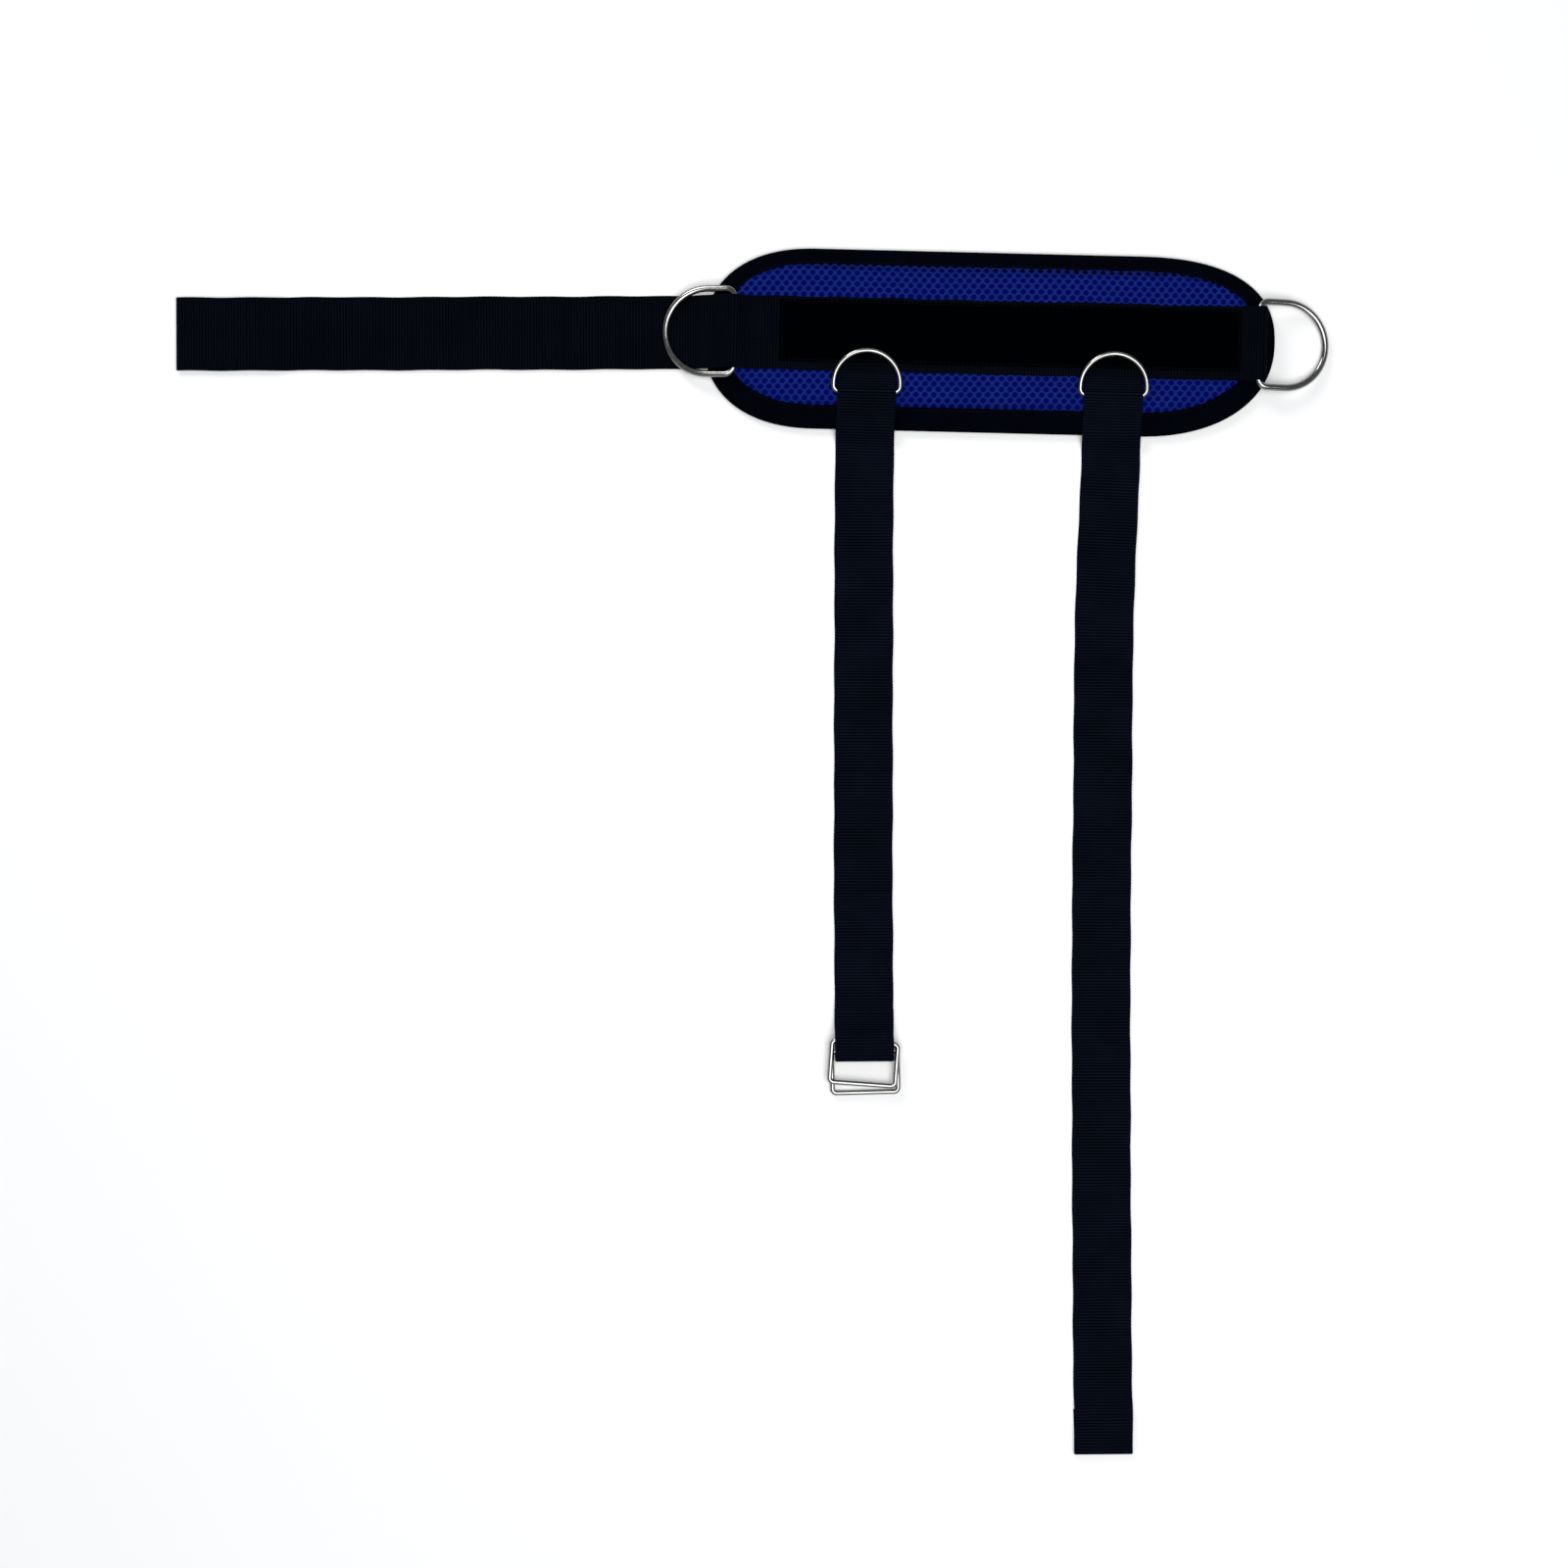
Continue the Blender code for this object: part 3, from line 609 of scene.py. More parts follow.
def lift_place(bar, hinges, end):
    """Where a lifting strap lies; along is the distance down from the pad's middle line."""
    marks = [(bar.x, 0.02), (bar.x, -PAD_HALF_WIDTH), *hinges, end]
    downs = np.array([-y for _, y in marks])
    dense = np.arange(-0.03, -end[1] + 0.02, 0.002)
    centre = np.interp(dense, downs, [x for x, _ in marks])
    beyond = dense > downs[-1]
    slope = (marks[-1][0] - marks[-2][0]) / (downs[-1] - downs[-2])
    centre[beyond] = end[0] + (dense[beyond] - downs[-1]) * slope
    kernel = np.ones(15) / 15
    padded = np.concatenate([[centre[0]] * 7, centre, centre[-1] + slope * 0.002 * np.arange(1, 8)])
    centre = np.convolve(padded, kernel, "valid")
    slopes = np.gradient(centre, dense)

    def place(along, u, height):
        x, m = np.interp(along, dense, centre), np.interp(along, dense, slopes)
        long = np.sqrt(1 + m * m)
        return x + u / long, -along + u * m / long, height + 0 * x

    return place


def root_route(bar):
    return [(-0.006, PAD_Z), (-bar.y - 0.0165, PAD_Z), (-bar.y - 0.0115, PAD_Z + 0.0002),
            *[(-bar.y - a, z) for a, z in bar_hump(0, bar.z, SMALL_RING[0], 45, 140)],
            (0.0570, 0.0080), (0.0610, 0.0073), (0.0645, 0.0056), (0.0690, 0.0024), (0.0720, 0.0011)]


def end_loop_route(near, length):
    """Over its own tail, up over both slide rings' bars and back under."""
    top, crown = FLOOR_Z + LAYER, 0.0103
    radius = (crown - FLOOR_Z) / 2
    fold, cut = length - radius - WEBBING / 2, length - FOLDED_TAIL
    reaches = [(cut - 0.001, top), (length - 0.0265, top), (length - 0.018, crown),
               *arc(fold, crown - radius, radius, 90, -90, 14), (cut, FLOOR_Z)]
    return lie(0.0745, near + cut - 0.007) + [(near + r, z) for r, z in reaches]


def hem_route(near, length):
    """Over its own hem, round the fold and back under."""
    top, radius = FLOOR_Z + LAYER, LAYER / 2
    fold, cut = length - radius - WEBBING / 2, length - HEM_LENGTH
    reaches = [(cut - 0.001, top), *arc(fold, top - radius, radius, 90, -90, 8), (cut, FLOOR_Z)]
    return lie(0.0745, near + cut - 0.007) + [(near + r, z) for r, z in reaches]


def lifting_strap(bar, hinges, end, last_route):
    near = -hinges[-1][1]
    route = root_route(bar) + last_route(near, -end[1] - near)
    return Strap(route, lift_place(bar, hinges, end), LIFT_WIDTH, 1.0)


def straps():
    """The three straps, worked out once."""
    if not STRAPS:
        # 0.50 paints the closing strap at half the rib tone, a painted shade; the lifting straps keep 1.0
        STRAPS["main"] = Strap(main_route(), main_place, MAIN_WIDTH, 0.50)
        STRAPS["left"] = lifting_strap(SMALL_LEFT_BAR, LEFT_HINGES, LEFT_STRAP_END, end_loop_route)
        STRAPS["right"] = lifting_strap(SMALL_RIGHT_BAR, RIGHT_HINGES, RIGHT_STRAP_END, hem_route)
    return STRAPS


STRAPS = {}


# stitches


def sew(name, marks):
    """A row of stitches, each a short rounded length of thread; marks are place, way along and way off."""
    s = sizes()
    shape = bmesh.new()
    for number, (point, along, off) in enumerate(marks):
        lean = 0.05 * math.sin(number * 2.4)
        side = off.cross(along).normalized()
        along = (along + side * (0.10 + lean)).normalized()
        frame_of = Matrix((side, off, along)).transposed().to_4x4()
        scale = Matrix.Diagonal((s.thread / 2, s.thread * 0.45, s.stitch * 0.43, 1))
        bmesh.ops.create_uvsphere(shape, u_segments=6, v_segments=4, radius=1,
                                  matrix=Matrix.Translation(point + off * s.thread * 0.1) @ frame_of @ scale)
    return new_piece(name, shape, "thread")


def seam_along(strap, start, end, u, lift=0.0):
    """Stitch marks down a strap."""
    low, high = sorted((strap.reach(start), strap.reach(end)))
    count = max(int((high - low) / sizes().stitch), 1)
    a = [float(strap.at(low + (high - low) * (i + 0.5) / count)[0]) for i in range(count)]
    return [strap.top(x, u, lift) for x in a]


def seam_across(strap, along, low, high, lift=0.0):
    """Stitch marks from side to side of a strap."""
    count = max(int((high - low) / sizes().stitch), 1)
    marks = []
    for i in range(count):
        point, ahead, off = strap.top(along, low + (high - low) * (i + 0.5) / count, lift)
        marks.append((point, off.cross(ahead).normalized(), off))
    return marks


# operators


class CUFF_OT_stage(bpy.types.Operator):
    """Makes the floor, the lights and the camera"""
    bl_idname = "cuff.stage"
    bl_label = "Stage"

    def execute(self, context):
        stage = context.scene.cuff_stage
        shape = bmesh.new()
        bmesh.ops.create_grid(shape, x_segments=1, y_segments=1, size=12)
        bmesh.ops.translate(shape, verts=shape.verts, vec=(0, 0, -0.0004))
        mesh = bpy.data.meshes.new("floor")
        shape.to_mesh(mesh)
        shape.free()
        material, tree, body, place = start_material(
            "paper_backdrop_matt", Roughness=0.9, Specular_IOR_Level=0.1)
        pale = colours().floor
        shade = tuple(0.985 * x for x in pale[:3]) + (1.0,)
        tree.links.new(blend_colours(tree, noise(tree, place, 3), shade, pale), body.inputs["Base Color"])
        mesh.materials.append(material)
        floor = bpy.data.objects.new("floor", mesh)
        context.scene.collection.objects.link(floor)
        world = bpy.data.worlds.new("studio")
        world.use_nodes = True
        world.node_tree.nodes["Background"].inputs["Color"].default_value = linear("#E6EAF0")
        world.node_tree.nodes["Background"].inputs["Strength"].default_value = 0.20
        context.scene.world = world
        context.scene.view_settings.view_transform = "Standard"
        for name, power, width, spot in (("overhead", stage.key, 2.4, (0.25, -0.75, 2.7)),
                                         ("side", stage.side, 0.7, (-0.95, 1.25, 1.0))):
            light = bpy.data.lights.new(name, "AREA")
            light.energy, light.size = power, width
            lamp = bpy.data.objects.new(name, light)
            lamp.location = spot
            lamp.rotation_euler = (Vector((-0.1, -0.25, 0)) - Vector(spot)).to_track_quat("-Z", "Y").to_euler()
            context.scene.collection.objects.link(lamp)
        lens = bpy.data.cameras.new("camera")
        lens.sensor_width = 36.0
        lens.lens = lens.sensor_width * stage.camera_height / stage.view_width
        camera = bpy.data.objects.new("camera", lens)
        camera.location = (-0.1326, -0.3045, stage.camera_height)
        camera.rotation_euler = (0, 0, math.radians(1.4))
        context.scene.collection.objects.link(camera)
        context.scene.camera = camera
        return {"FINISHED"}


def slab(inset, bottom, top, stations=220):
    """The pad's outline filled and given a height."""
    q, _ = even_stations(stations, inset)
    shape = bmesh.new()
    ring = bmesh.ops.create_circle(shape, cap_ends=True, segments=stations, radius=1)["verts"]
    for vert, (x, y) in zip(ring, outline(q, inset)):
        vert.co = (x, y, bottom)
    if top > bottom:
        up = bmesh.ops.extrude_face_region(shape, geom=shape.faces[:])["geom"]
        bmesh.ops.translate(shape, verts=[v for v in up if isinstance(v, bmesh.types.BMVert)],
                            vec=(0, 0, top - bottom))
    return shape


def ceiling(x, y):
    """How high the cushion may swell: it is held down under the straps."""
    def away(distance):
        return np.clip(distance / 0.007, 0, 1) ** 2 * (3 - 2 * np.clip(distance / 0.007, 0, 1))

    free = away(np.abs(y - STRAP_Y) - MAIN_WIDTH / 2 + 0.001)
    for bar in (SMALL_LEFT_BAR, SMALL_RIGHT_BAR):
        beside = away(np.abs(x - bar.x) - LIFT_WIDTH / 2 - 0.0045)  # as far as the ring
        free = np.where(y < 0, np.minimum(free, beside), free)
    return 0.0083 + 0.0014 * free


def swell(piece):
    """Fills the cushion by cloth simulation, and returns it with the result in its mesh."""
    scene = bpy.context.scene
    remesh = piece.modifiers.new("remesh", "REMESH")
    remesh.mode, remesh.voxel_size = "VOXEL", sizes().voxel
    rest_mesh = bpy.data.meshes.new_from_object(piece.evaluated_get(bpy.context.evaluated_depsgraph_get()))
    piece.modifiers.clear()
    piece.data = rest_mesh
    rest = np.array([v.co for v in rest_mesh.vertices])
    cloth = piece.modifiers.new("cloth", "CLOTH")
    cloth.settings.use_pressure = True
    cloth.settings.uniform_pressure_force = 4.0
    cloth.settings.effector_weights.gravity = 0.0
    cloth.settings.quality = 6
    cloth.point_cache.frame_start, cloth.point_cache.frame_end = 1, 20
    for number in range(1, 21):
        scene.frame_set(number)
    filled = bpy.data.meshes.new_from_object(piece.evaluated_get(bpy.context.evaluated_depsgraph_get()))
    piece.modifiers.clear()
    scene.frame_set(1)
    moved = np.array([v.co for v in filled.vertices]) - rest
    far = np.linalg.norm(moved, axis=1, keepdims=True)
    cap = 0.0045
    points = rest + moved * np.minimum(1, cap / np.maximum(far, 1e-9))
    filled.vertices.foreach_set("co", points.ravel())
    piece.data = filled
    return piece


def limit_cushion(piece):
    """Keeps the cushion on the lining, inside the tape and under the straps."""
    mesh = piece.data
    points = np.array([v.co for v in mesh.vertices])
    x, y = points[:, 0], points[:, 1]
    inside = depth_inside(x, y)
    slope = 0.0044 + np.clip((inside - 0.0119) / 0.0075, 0, 1) ** 0.7 * 0.0060
    points[:, 2] = np.clip(points[:, 2], 0.0021, np.minimum(ceiling(x, y), slope))
    mesh.vertices.foreach_set("co", points.ravel())
    mesh.update()


class CUFF_OT_cushion(bpy.types.Operator):
    """Makes the foam cushion with its knitted backing"""
    bl_idname = "cuff.cushion"
    bl_label = "Cushion"

    def execute(self, context):
        piece = new_piece("pad_cushion", slab(0.0078, 0.0024, 0.0068), "foam")
        swell(piece)
        limit_cushion(piece)
        for modifier in (piece.modifiers.new("smooth", "SMOOTH"), piece.modifiers.new("fine", "SUBSURF")):
            if modifier.type == "SMOOTH":
                modifier.factor, modifier.iterations = 0.5, 2
            else:
                modifier.levels = modifier.render_levels = 1
        mesh = bpy.data.meshes.new_from_object(
            piece.evaluated_get(context.evaluated_depsgraph_get()))
        piece.modifiers.clear()
        piece.data = mesh
        mesh.shade_smooth()
        limit_cushion(piece)
        mesh.materials.clear()
        mesh.materials.append(finish("foam"))
        flex(piece)
        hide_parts("foam_core_left", "foam_core_right")
        return {"FINISHED"}


def mesh_tile():
    """One cell of the mesh face: a hexagon with an oval hole, its strands crowned."""
    s = sizes()
    half, row = s.mesh_pitch / 2, s.mesh_row
    corner = row / 3  # half of an upright side
    shape = bmesh.new()
    # crown is 1 on the strands' tops and 0 at the hole rims, for the painted highlight and shade of the mesh
    # material
    crown = shape.verts.layers.float.new("crown")
    ring = bmesh.ops.create_circle(shape, cap_ends=True, segments=6, radius=1)["verts"]
    outer = [(0, row - corner), (-half, corner), (-half, -corner), (0, corner - row), (half, -corner),
             (half, corner)]
    for vert, (x, y) in zip(ring, outer):
        vert.co = (x, y, 0)
    bmesh.ops.subdivide_edges(shape, edges=shape.edges[:], cuts=1)
    for vert in shape.verts:
        vert[crown] = 1.0
    bmesh.ops.inset_individual(shape, faces=shape.faces[:], thickness=0.0006)
    hole = max(shape.faces, key=lambda f: len(f.verts))
    for vert in hole.verts:
        turn = math.atan2(vert.co.y / 1.3, vert.co.x)
        vert.co = (0.00152 * math.cos(turn), 0.00202 * math.sin(turn), -0.00030)
        vert[crown] = 0.0
    bmesh.ops.delete(shape, geom=[hole], context="FACES_ONLY")
    return shape


class CUFF_OT_mesh_face(bpy.types.Operator):
    """Makes the open knitted mesh over the cushion, with each of its holes"""
    bl_idname = "cuff.mesh_face"
    bl_label = "Mesh face"

    def execute(self, context):
        s = sizes()
        shape = mesh_tile()
        columns = int(2 * PAD_HALF_LENGTH / s.mesh_pitch) + 4
        rows = int(2 * PAD_HALF_WIDTH / s.mesh_row) + 4
        tile = shape.verts[:] + shape.edges[:] + shape.faces[:]
        line = list(tile)
        for i in range(1, columns):
            copy = bmesh.ops.duplicate(shape, geom=tile)["geom"]
            verts = [g for g in copy if isinstance(g, bmesh.types.BMVert)]
            bmesh.ops.translate(shape, verts=verts, vec=(i * s.mesh_pitch, 0, 0))
            line += copy
        for j in range(1, rows):
            copy = bmesh.ops.duplicate(shape, geom=line)["geom"]
            verts = [g for g in copy if isinstance(g, bmesh.types.BMVert)]
            bmesh.ops.translate(shape, verts=verts, vec=((j % 2) * s.mesh_pitch / 2, j * s.mesh_row, 0))
        bmesh.ops.translate(shape, verts=shape.verts,
                            vec=(-columns * s.mesh_pitch / 2, -(rows - 1) * s.mesh_row / 2, 0))
        bmesh.ops.remove_doubles(shape, verts=shape.verts, dist=0.00005)
        centres = np.array([f.calc_center_median() for f in shape.faces])
        inside = depth_inside(centres[:, 0], centres[:, 1])
        bmesh.ops.delete(shape, geom=[f for f, d in zip(shape.faces[:], inside) if d < 0.0107],
                         context="FACES")
        loose = [v for v in shape.verts if not v.link_faces]
        bmesh.ops.delete(shape, geom=loose, context="VERTS")
        self.lay(shape)
        bmesh.ops.solidify(shape, geom=shape.faces[:], thickness=-0.0005)
        piece = new_piece("mesh_face", shape, "mesh")
        flex(piece)
        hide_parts("mesh_face_left", "mesh_face_right")
        return {"FINISHED"}

    def lay(self, shape):
        """Sets the mesh down on the cushion, and under the tape round the edge."""
        cushion = bpy.data.objects["pad_cushion"].data
        tree = BVHTree.FromPolygons([v.co for v in cushion.vertices], [p.vertices for p in cushion.polygons])
        points = np.array([v.co for v in shape.verts])
        x, y = points[:, 0].copy(), points[:, 1].copy()
        y += 0.0012 * np.sin(x * 9 + 0.4) + 0.0004 * np.sin(x * 41)
        x += 0.0006 * np.sin(y * 60) + 0.0012 * np.sin(x * 13)
        inside = depth_inside(x, y)
        top = 0.0047 + np.clip((inside - 0.0125) / 0.0055, 0, 1) ** 1.2 * 0.0060
        for k, vert in enumerate(shape.verts):
            hit = tree.ray_cast(Vector((x[k], y[k], 0.05)), Vector((0, 0, -1)))[0]
            under = hit.z + 0.0010 if hit else 0.0047
            vert.co = (x[k], y[k], max(min(under, top[k] + 0.0004), 0.0046) + points[k, 2])


TAPE_SECTION = (  # how far in from the pad's edge, and the height, from the upper inner edge outwards
    (0.01340, 0.0056), (0.01325, 0.0061), (0.01270, 0.0063), (0.01220, 0.0061), (0.01175, 0.0058),
    (0.01120, 0.0061), (0.00950, 0.0065), (0.00700, 0.0066), (0.00480, 0.0064), (0.00290, 0.0058),
    (0.00130, 0.0048), (0.00030, 0.0037), (0.00000, 0.0029), (0.00030, 0.0020), (0.00130, 0.0010),
    (0.00300, 0.0004), (0.00600, 0.0001), (0.01320, 0.0001), (0.01340, 0.0004), (0.01320, 0.0008),
    (0.00600, 0.0009), (0.00300, 0.0013), (0.00160, 0.0022), (0.00110, 0.0030), (0.00180, 0.0041),
    (0.00350, 0.0050), (0.00600, 0.0053), (0.01190, 0.0051))


class CUFF_OT_edge_binding(bpy.types.Operator):
    """Makes the tape folded round the pad's edge, and its seam"""
    bl_idname = "cuff.edge_binding"
    bl_label = "Edge binding"

    def execute(self, context):
        stations = 480
        q, around = even_stations(stations)
        run = np.arange(stations) / stations * around
        curved = np.where((np.floor(q) % 2) == 0, 1.0, 0.25)
        kernel = np.ones(21) / 21
        curved = np.convolve(np.concatenate([curved[-10:], curved, curved[:10]]), kernel, "valid")
        pucker = np.sin(run * 2 * math.pi / (around / 132)) * (0.6 + 0.4 * np.sin(run * 53))
        sway = 0.00025 * np.sin(run * 2 * math.pi / (around / 31)) * np.sin(run * 17)
        rows = []
        for inset, height in TAPE_SECTION:
            inner = min(inset / BINDING_WIDTH, 1)
            upper = 1 if height > 0.0035 else 0
            flat = outline(q, inset + sway * inner + 0.00016 * inner * pucker * curved)
            rise = upper * 0.00022 * pucker * curved * math.sin(math.pi * min(inner * 1.1, 1))
            rows.append(np.column_stack([flat, height + rise]))
        shape = rolled_grid(np.stack(rows, 1), closed_path=True)
        piece = new_piece("edge_binding", shape, "binding")
        flex(piece)
        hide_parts("edge_binding_left", "edge_binding_right")
        count = int(around / sizes().stitch)
        places, _ = even_stations(count, 0.0117)
        here = outline(places, 0.01175)
        ahead = outline(places + 0.002, 0.01175)
        marks = [(Vector((*a, 0.0059)), (Vector((*b, 0)) - Vector((*a, 0))).normalized(), Vector((0, 0, 1)))
                 for a, b in zip(here, ahead)]
        seam = flex(sew("binding_stitches", marks))
        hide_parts("binding_seam_left", "binding_seam_right")
        return {"FINISHED"}


class CUFF_OT_lining(bpy.types.Operator):
    """Makes the brushed lining on the skin side"""
    bl_idname = "cuff.lining"
    bl_label = "Lining"

    def execute(self, context):
        shape = slab(0.0035, 0.0011, 0.0011, 260)
        bmesh.ops.inset_region(shape, faces=shape.faces[:], thickness=0.0099)
        middle = [max(shape.faces, key=lambda f: f.calc_area())]
        bmesh.ops.inset_region(shape, faces=middle, thickness=0.0018)
        middle = max(shape.faces, key=lambda f: f.calc_area())
        for vert in middle.verts:
            vert.co.z = 0.0002
        for step in np.arange(-0.180, 0.186, 0.004):
            bmesh.ops.bisect_plane(shape, geom=shape.verts[:] + shape.edges[:] + shape.faces[:],
                                   plane_co=(step, 0, 0), plane_no=(1, 0, 0))
        bmesh.ops.recalc_face_normals(shape, faces=shape.faces)
        bmesh.ops.solidify(shape, geom=shape.faces[:], thickness=0.0007)
        lowest = min(v.co.z for v in shape.verts)
        bmesh.ops.translate(shape, verts=shape.verts, vec=(0, 0, 0.0002 - lowest))
        piece = new_piece("pad_lining", shape, "lining")
        flex(piece)
        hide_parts("lining_left", "lining_right")
        return {"FINISHED"}


class CUFF_OT_main_strap(bpy.types.Operator):
    """Makes the closing strap, from its fold round the right ring to the end of its tail"""
    bl_idname = "cuff.main_strap"
    bl_label = "Closing strap"

    def execute(self, context):
        strap = straps()["main"]
        cuts = [strap.rib_at(-0.2115)]
        cuts += [strap.rib_at((a + b) / 2) for a, b in zip(TAIL_HINGES, TAIL_HINGES[1:])] + [0]
        piece, flat = strap.piece("main_strap", cuts[0], strap.ribs)
        flex(piece)
        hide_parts("main_strap_left", "main_strap_right")
        zones = [(-0.2258, -0.2385), (-0.283, -0.343), (-0.364, -0.424), (-0.447, -0.4855)]
        for number, (start, end) in enumerate(zones, 1):
            piece, flat = strap.piece(f"tail_{number}", cuts[number], cuts[number - 1])
            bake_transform(piece)
            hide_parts(f"tail_webbing_{number}")
        return {"FINISHED"}


class CUFF_OT_lifting_straps(bpy.types.Operator):
    """Makes both lifting straps, from under the closing strap to their ends"""
    bl_idname = "cuff.lifting_straps"
    bl_label = "Lifting straps"

    def execute(self, context):
        for hand, hinges in (("left", LEFT_HINGES), ("right", RIGHT_HINGES)):
            strap = straps()[hand]
            downs = [-y for _, y in hinges]
            cuts = [strap.rib_at(0.0608)] + [strap.rib_at((a + b) / 2) for a, b in zip(downs, downs[1:])]
            cuts.append(strap.ribs)
            piece, flat = strap.piece(f"{hand}_root", 0, cuts[0])
            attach(piece, f"cuff_{hand}")
            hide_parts(f"{hand}_strap_root")
            for number, down in enumerate(downs, 1):
                piece, flat = strap.piece(f"{hand}_strap_{number}", cuts[number - 1], cuts[number])
                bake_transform(piece)
                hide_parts(f"{hand}_strap_webbing_{number}")
        return {"FINISHED"}


class CUFF_OT_closure(bpy.types.Operator):
    """Makes the pile strip on the pad and the hook strip under the tail's end"""
    bl_idname = "cuff.closure"
    bl_label = "Hook and pile"

    def execute(self, context):
        strap = straps()["main"]
        s = np.arange(strap.reach(PILE_LEFT), strap.reach(PILE_RIGHT), 0.0008)
        a, z, na, nz = strap.at(s)
        columns = np.linspace(-1, 1, 44)
        rng = np.random.default_rng(7)
        fuzz = rng.normal(0, 1, (len(s), len(columns)))
        bottom = WEBBING / 2 + GAP * 0.4
        edge = np.clip((1 - np.abs(columns)) / 0.10, 0, 1) ** 0.6
        ends = np.clip(np.minimum(s - s[0], s[-1] - s) / 0.0015, 0, 1) ** 0.6
        rows = []
        for k, u in enumerate(columns):
            nap = np.minimum(edge[k], ends)
            off = bottom + 0.0006 + nap * (0.0007 + 0.00016 * np.clip(fuzz[:, k], -1.6, 1.6))
            ragged = 0.00012 * fuzz[:, k]
            x = a + na * off + 0.5 * ragged
            rows.append(np.stack([x, PILE_Y + u * PILE_WIDTH / 2 + ragged, z + nz * off], -1))
        for u in (1.0, 0.0, -1.0):
            x = a + na * bottom
            rows.append(np.stack([x, PILE_Y + u * PILE_WIDTH / 2 + 0 * x, z + nz * bottom], -1))
        shape = rolled_grid(np.stack(rows, 1))
        pile = new_piece("pile_strip", shape, "pile")
        flex(pile)
        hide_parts("loop_strip_left", "loop_strip_right")

        tape, hooks = self.hook_strip()
        for piece in (tape, hooks):
            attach(piece, "tail_4")
        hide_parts("hook_strip")
        return {"FINISHED"}

    def hook_strip(self):
        """A woven tape with rows of bent hooks that point down."""
        low, high, top, back = TAIL_END + 0.001, TAIL_END + 0.069, HOOK_STRIP, 0.0006
        shape = bmesh.new()
        bmesh.ops.create_cube(shape, size=1)
        bmesh.ops.scale(shape, verts=shape.verts, vec=(high - low, PILE_WIDTH, top - back))
        bmesh.ops.bevel(shape, geom=shape.edges[:], offset=0.0002, offset_type="OFFSET", segments=2,
                        profile=0.5, affect="EDGES", material=-1)
        bmesh.ops.translate(shape, verts=shape.verts, vec=((low + high) / 2, 0, (top + back) / 2))
        self.put(shape)
        tape = new_piece("hook_tape", shape, "hook")
        shape = bmesh.new()
        for i in range(38):
            for j in range(22):
                x = low + 0.0022 + i * 0.0017
                y = -PILE_WIDTH / 2 + 0.0024 + j * 0.00175 + (i % 2) * 0.0004
                stem = bmesh.ops.create_cone(shape, cap_ends=True, segments=5, radius1=0.00013,
                                             radius2=0.00018, depth=0.00055,
                                             matrix=Matrix.Translation((x, y, back - 0.00022)))["verts"]
                foot = [v for v in stem if v.co.z < back - 0.0003]
                bmesh.ops.translate(shape, verts=foot, vec=(0.00028, 0, 0))
        self.put(shape)
        return tape, new_piece("hooks", shape, "hook")

    def put(self, shape):
        for vert in shape.verts:
            vert.co = Vector(main_place(vert.co.x, vert.co.y, vert.co.z))


def wire_loop(name, path, wire, place, body, node):
    """A closed loop of round wire along points in a plane."""
    points = np.array(path)
    before, after = points - np.roll(points, 1, 0), np.roll(points, -1, 0) - points
    way = before / np.linalg.norm(before, axis=1)[:, None] + after / np.linalg.norm(after, axis=1)[:, None]
    way /= np.linalg.norm(way, axis=1)[:, None]
    side = np.stack([way[:, 1], -way[:, 0]], -1)
    rows = []
    for turn in np.linspace(0, 2 * math.pi, 20, endpoint=False):
        flat = points + side * (wire / 2 * math.cos(turn))
        rows.append(np.column_stack([flat, np.full(len(flat), wire / 2 * math.sin(turn))]))
    shape = rolled_grid(np.stack(rows, 1), closed_path=True)
    bmesh.ops.transform(shape, matrix=place, verts=shape.verts)
    piece = new_piece(name, shape, "plated")
    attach(piece, body)
    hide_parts(node)
    return piece


def straight(start, end, steps):
    return [(start[0] + (end[0] - start[0]) * i / steps, start[1] + (end[1] - start[1]) * i / steps)
            for i in range(1, steps)]


def d_path(half_width, depth, corner):
    """A D with its bar along X through the origin and its arc towards +Y."""
    inner, rise = half_width - corner, depth - half_width
    return [*arc(inner, corner, corner, -90, 0, 10), *straight((half_width, corner), (half_width, rise), 4),
            *arc(0, rise, half_width, 0, 180, 64), *straight((-half_width, rise), (-half_width, corner), 4),
            *arc(-inner, corner, corner, 180, 270, 10), *straight((-inner, 0), (inner, 0), 12)]


def slide_path(half_width, depth, corner):
    """A rectangle with round corners and its bar along X through the origin."""
    inner, far = half_width - corner, depth - corner
    return [*arc(inner, corner, corner, -90, 0, 10), *straight((half_width, corner), (half_width, far), 6),
            *arc(inner, far, corner, 0, 90, 10), *straight((inner, depth), (-inner, depth), 12),
            *arc(-inner, far, corner, 90, 180, 10), *straight((-half_width, far), (-half_width, corner), 6),
            *arc(-inner, corner, corner, 180, 270, 10), *straight((-inner, 0), (inner, 0), 12)]


def lying(bar, heading, tilt):
    turn = Matrix.Rotation(math.radians(heading), 4, "Z") @ Matrix.Rotation(math.radians(tilt), 4, "X")
    return Matrix.Translation(bar) @ turn


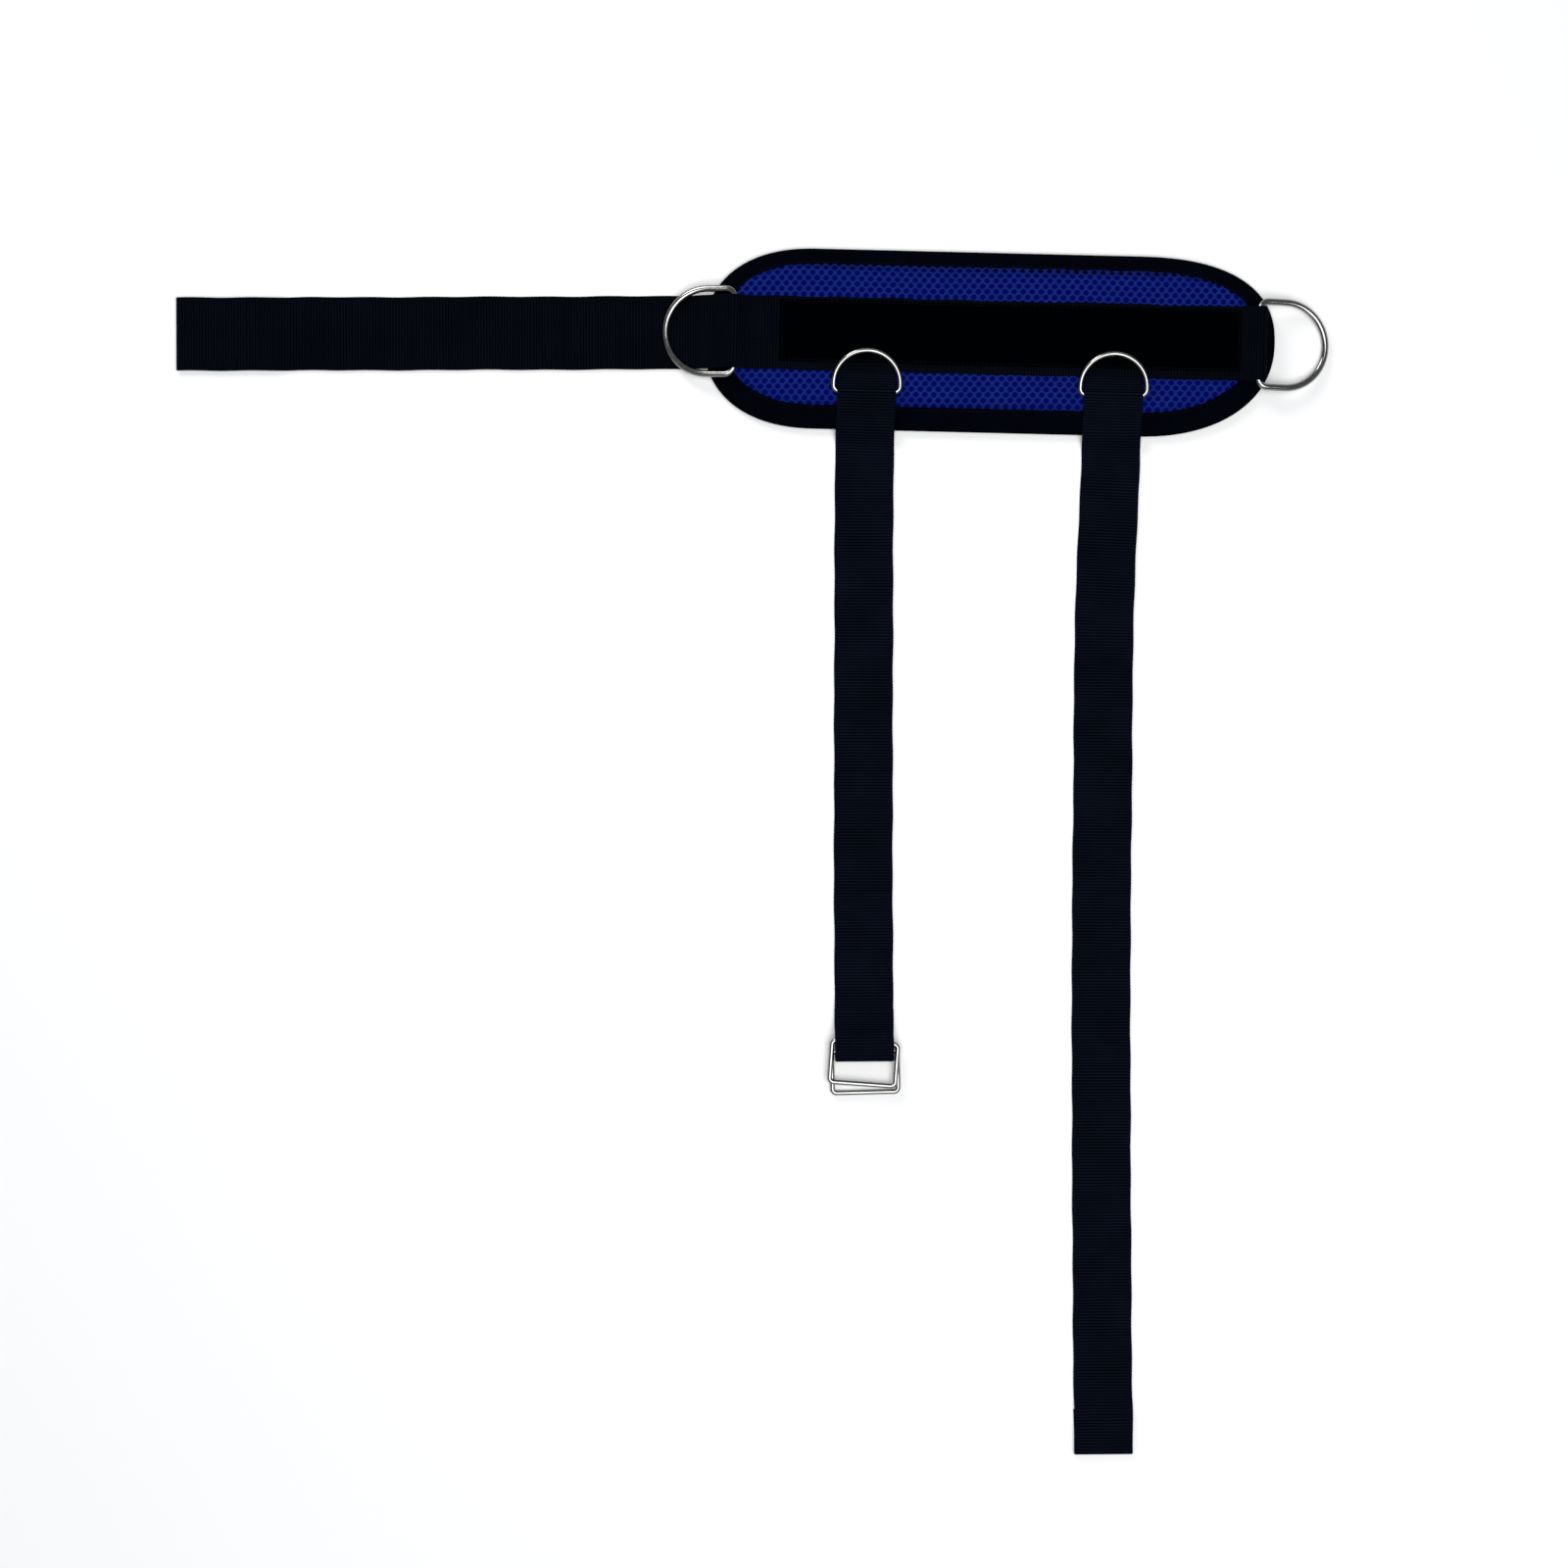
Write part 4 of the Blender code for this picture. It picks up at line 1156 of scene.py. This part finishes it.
class CUFF_OT_rings(bpy.types.Operator):
    """Makes the four D-rings and the two slide rings"""
    bl_idname = "cuff.rings"
    bl_label = "Rings"

    def execute(self, context):
        for kind, hand, ring, bar, heading, tilt in (
                ("big", "left", BIG_RING, BIG_LEFT_BAR, 90, -9.3),
                ("big", "right", BIG_RING, BIG_RIGHT_BAR, -90, -12.9),
                ("small", "left", SMALL_RING, SMALL_LEFT_BAR, 0, 15.0),
                ("small", "right", SMALL_RING, SMALL_RIGHT_BAR, 0, 15.0)):
            wire_loop(f"{kind}_d_ring_{hand}_wire", d_path(*ring[1:]), ring[0], lying(bar, heading, tilt),
                      f"{kind}_ring_{hand}", f"{kind}_d_ring_{hand}")
        start, end = Vector((*LEFT_HINGES[-1], 0)), Vector((*LEFT_STRAP_END, 0))
        along, length = (end - start).normalized(), (end - start).length
        across = Vector((-along.y, along.x, 0))
        strap_heading = 180 + math.degrees(math.atan2(across.y, across.x))
        for name, back, z, sideways, yaw, tilt in (("front", 0.0133, 0.0075, 0.0005, -4.5, -2.5),
                                                   ("rear", 0.0073, 0.00355, 0.0, 1.1, -3.5)):
            bar = start + along * (length - back) + across * sideways + Vector((0, 0, z))
            wire_loop(f"slide_ring_{name}_wire", slide_path(*SLIDE_RING[1:]), SLIDE_RING[0],
                      lying(bar, strap_heading + yaw, tilt), f"slide_{name}", f"slide_ring_{name}")
        return {"FINISHED"}


class CUFF_OT_stitching(bpy.types.Operator):
    """Sews the straps: edge rows, tacks, the end loop and the hem"""
    bl_idname = "cuff.stitching"
    bl_label = "Stitching"

    def execute(self, context):
        strap = straps()["main"]
        half = MAIN_WIDTH / 2 - 0.0018
        edges = seam_along(strap, -0.1605, 0.172, half) + seam_along(strap, -0.1605, 0.172, -half)
        flex(sew("strap_edge_stitches", edges))
        tacks = []
        for along in (-0.1570, -0.1540, 0.1745):
            tacks += seam_across(strap, along, -half + 0.002, half - 0.002)
        tack = flex(sew("ring_tack_stitches", tacks))
        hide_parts("big_ring_tack")
        lift = GAP * 0.4 + 0.0013
        side = PILE_WIDTH / 2 - 0.0012
        rows = []
        for u in (side, -side):
            rows += seam_along(strap, PILE_LEFT + 0.002, PILE_RIGHT - 0.002, PILE_Y - STRAP_Y + u, lift)
        for along in (PILE_LEFT + 0.0016, PILE_RIGHT - 0.0016):
            rows += seam_across(strap, along, PILE_Y - STRAP_Y - side, PILE_Y - STRAP_Y + side, lift)
        flex(sew("pile_stitches", rows))
        hook_half = PILE_WIDTH / 2 - 0.002
        rows = []
        for u in (hook_half, -hook_half):
            rows += seam_along(strap, TAIL_END + 0.003, TAIL_END + 0.067, u)
        for along in (TAIL_END + 0.003, TAIL_END + 0.067):
            rows += seam_across(strap, along, -hook_half, hook_half)
        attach(sew("hook_stitches", rows), "tail_4")
        edge = LIFT_WIDTH / 2 - 0.0025
        for hand, bar in (("left", SMALL_LEFT_BAR), ("right", SMALL_RIGHT_BAR)):
            root = seam_across(straps()[hand], -bar.y - 0.0100, -edge, edge)
            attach(sew(f"{hand}_root_stitches", root), f"cuff_{hand}")
        left, right = -LEFT_STRAP_END[1], -RIGHT_STRAP_END[1]
        rows = seam_across(straps()["left"], left - 0.0345, -edge, edge)
        rows += seam_across(straps()["left"], left - 0.0285, -edge, edge)
        loop = sew("end_loop_stitches", rows)
        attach(loop, "left_strap_4")
        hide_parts("end_loop_seam_upper", "end_loop_seam_lower")
        rows = seam_across(straps()["right"], right - 0.0295, -edge, edge)
        rows += seam_across(straps()["right"], right - 0.0255, -edge, edge)
        hem = sew("hem_stitches", rows)
        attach(hem, "right_strap_6")
        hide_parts("hem_seam_upper", "hem_seam_lower")
        return {"FINISHED"}


OPERATORS = (CUFF_OT_stage, CUFF_OT_cushion, CUFF_OT_mesh_face, CUFF_OT_lining, CUFF_OT_edge_binding,
             CUFF_OT_main_strap, CUFF_OT_lifting_straps, CUFF_OT_closure, CUFF_OT_rings, CUFF_OT_stitching)
GROUPS = {"cuff_sizes": CuffSizes, "cuff_colours": CuffColours, "cuff_stage": CuffStage}


class CUFF_PT_panel(bpy.types.Panel):
    """Lists the steps and their settings"""
    bl_idname = "CUFF_PT_panel"
    bl_label = "Padded cuff"
    bl_space_type = "VIEW_3D"
    bl_region_type = "UI"
    bl_category = "Cuff"

    def draw(self, context):
        for step in OPERATORS:
            self.layout.operator(step.bl_idname)
        for group in GROUPS:
            settings = getattr(context.scene, group)
            for name in settings.__annotations__:
                self.layout.prop(settings, name)


def register():
    for group, kind in GROUPS.items():
        bpy.utils.register_class(kind)
        setattr(bpy.types.Scene, group, bpy.props.PointerProperty(type=kind))
    for kind in (*OPERATORS, CUFF_PT_panel):
        bpy.utils.register_class(kind)


def unregister():
    for kind in (CUFF_PT_panel, *reversed(OPERATORS)):
        bpy.utils.unregister_class(kind)
    for group, kind in GROUPS.items():
        delattr(bpy.types.Scene, group)
        bpy.utils.unregister_class(kind)


def main():
    register()
    for step in OPERATORS:
        getattr(bpy.ops.cuff, step.bl_idname.split(".")[1])()


if __name__ == "__main__":
    main()
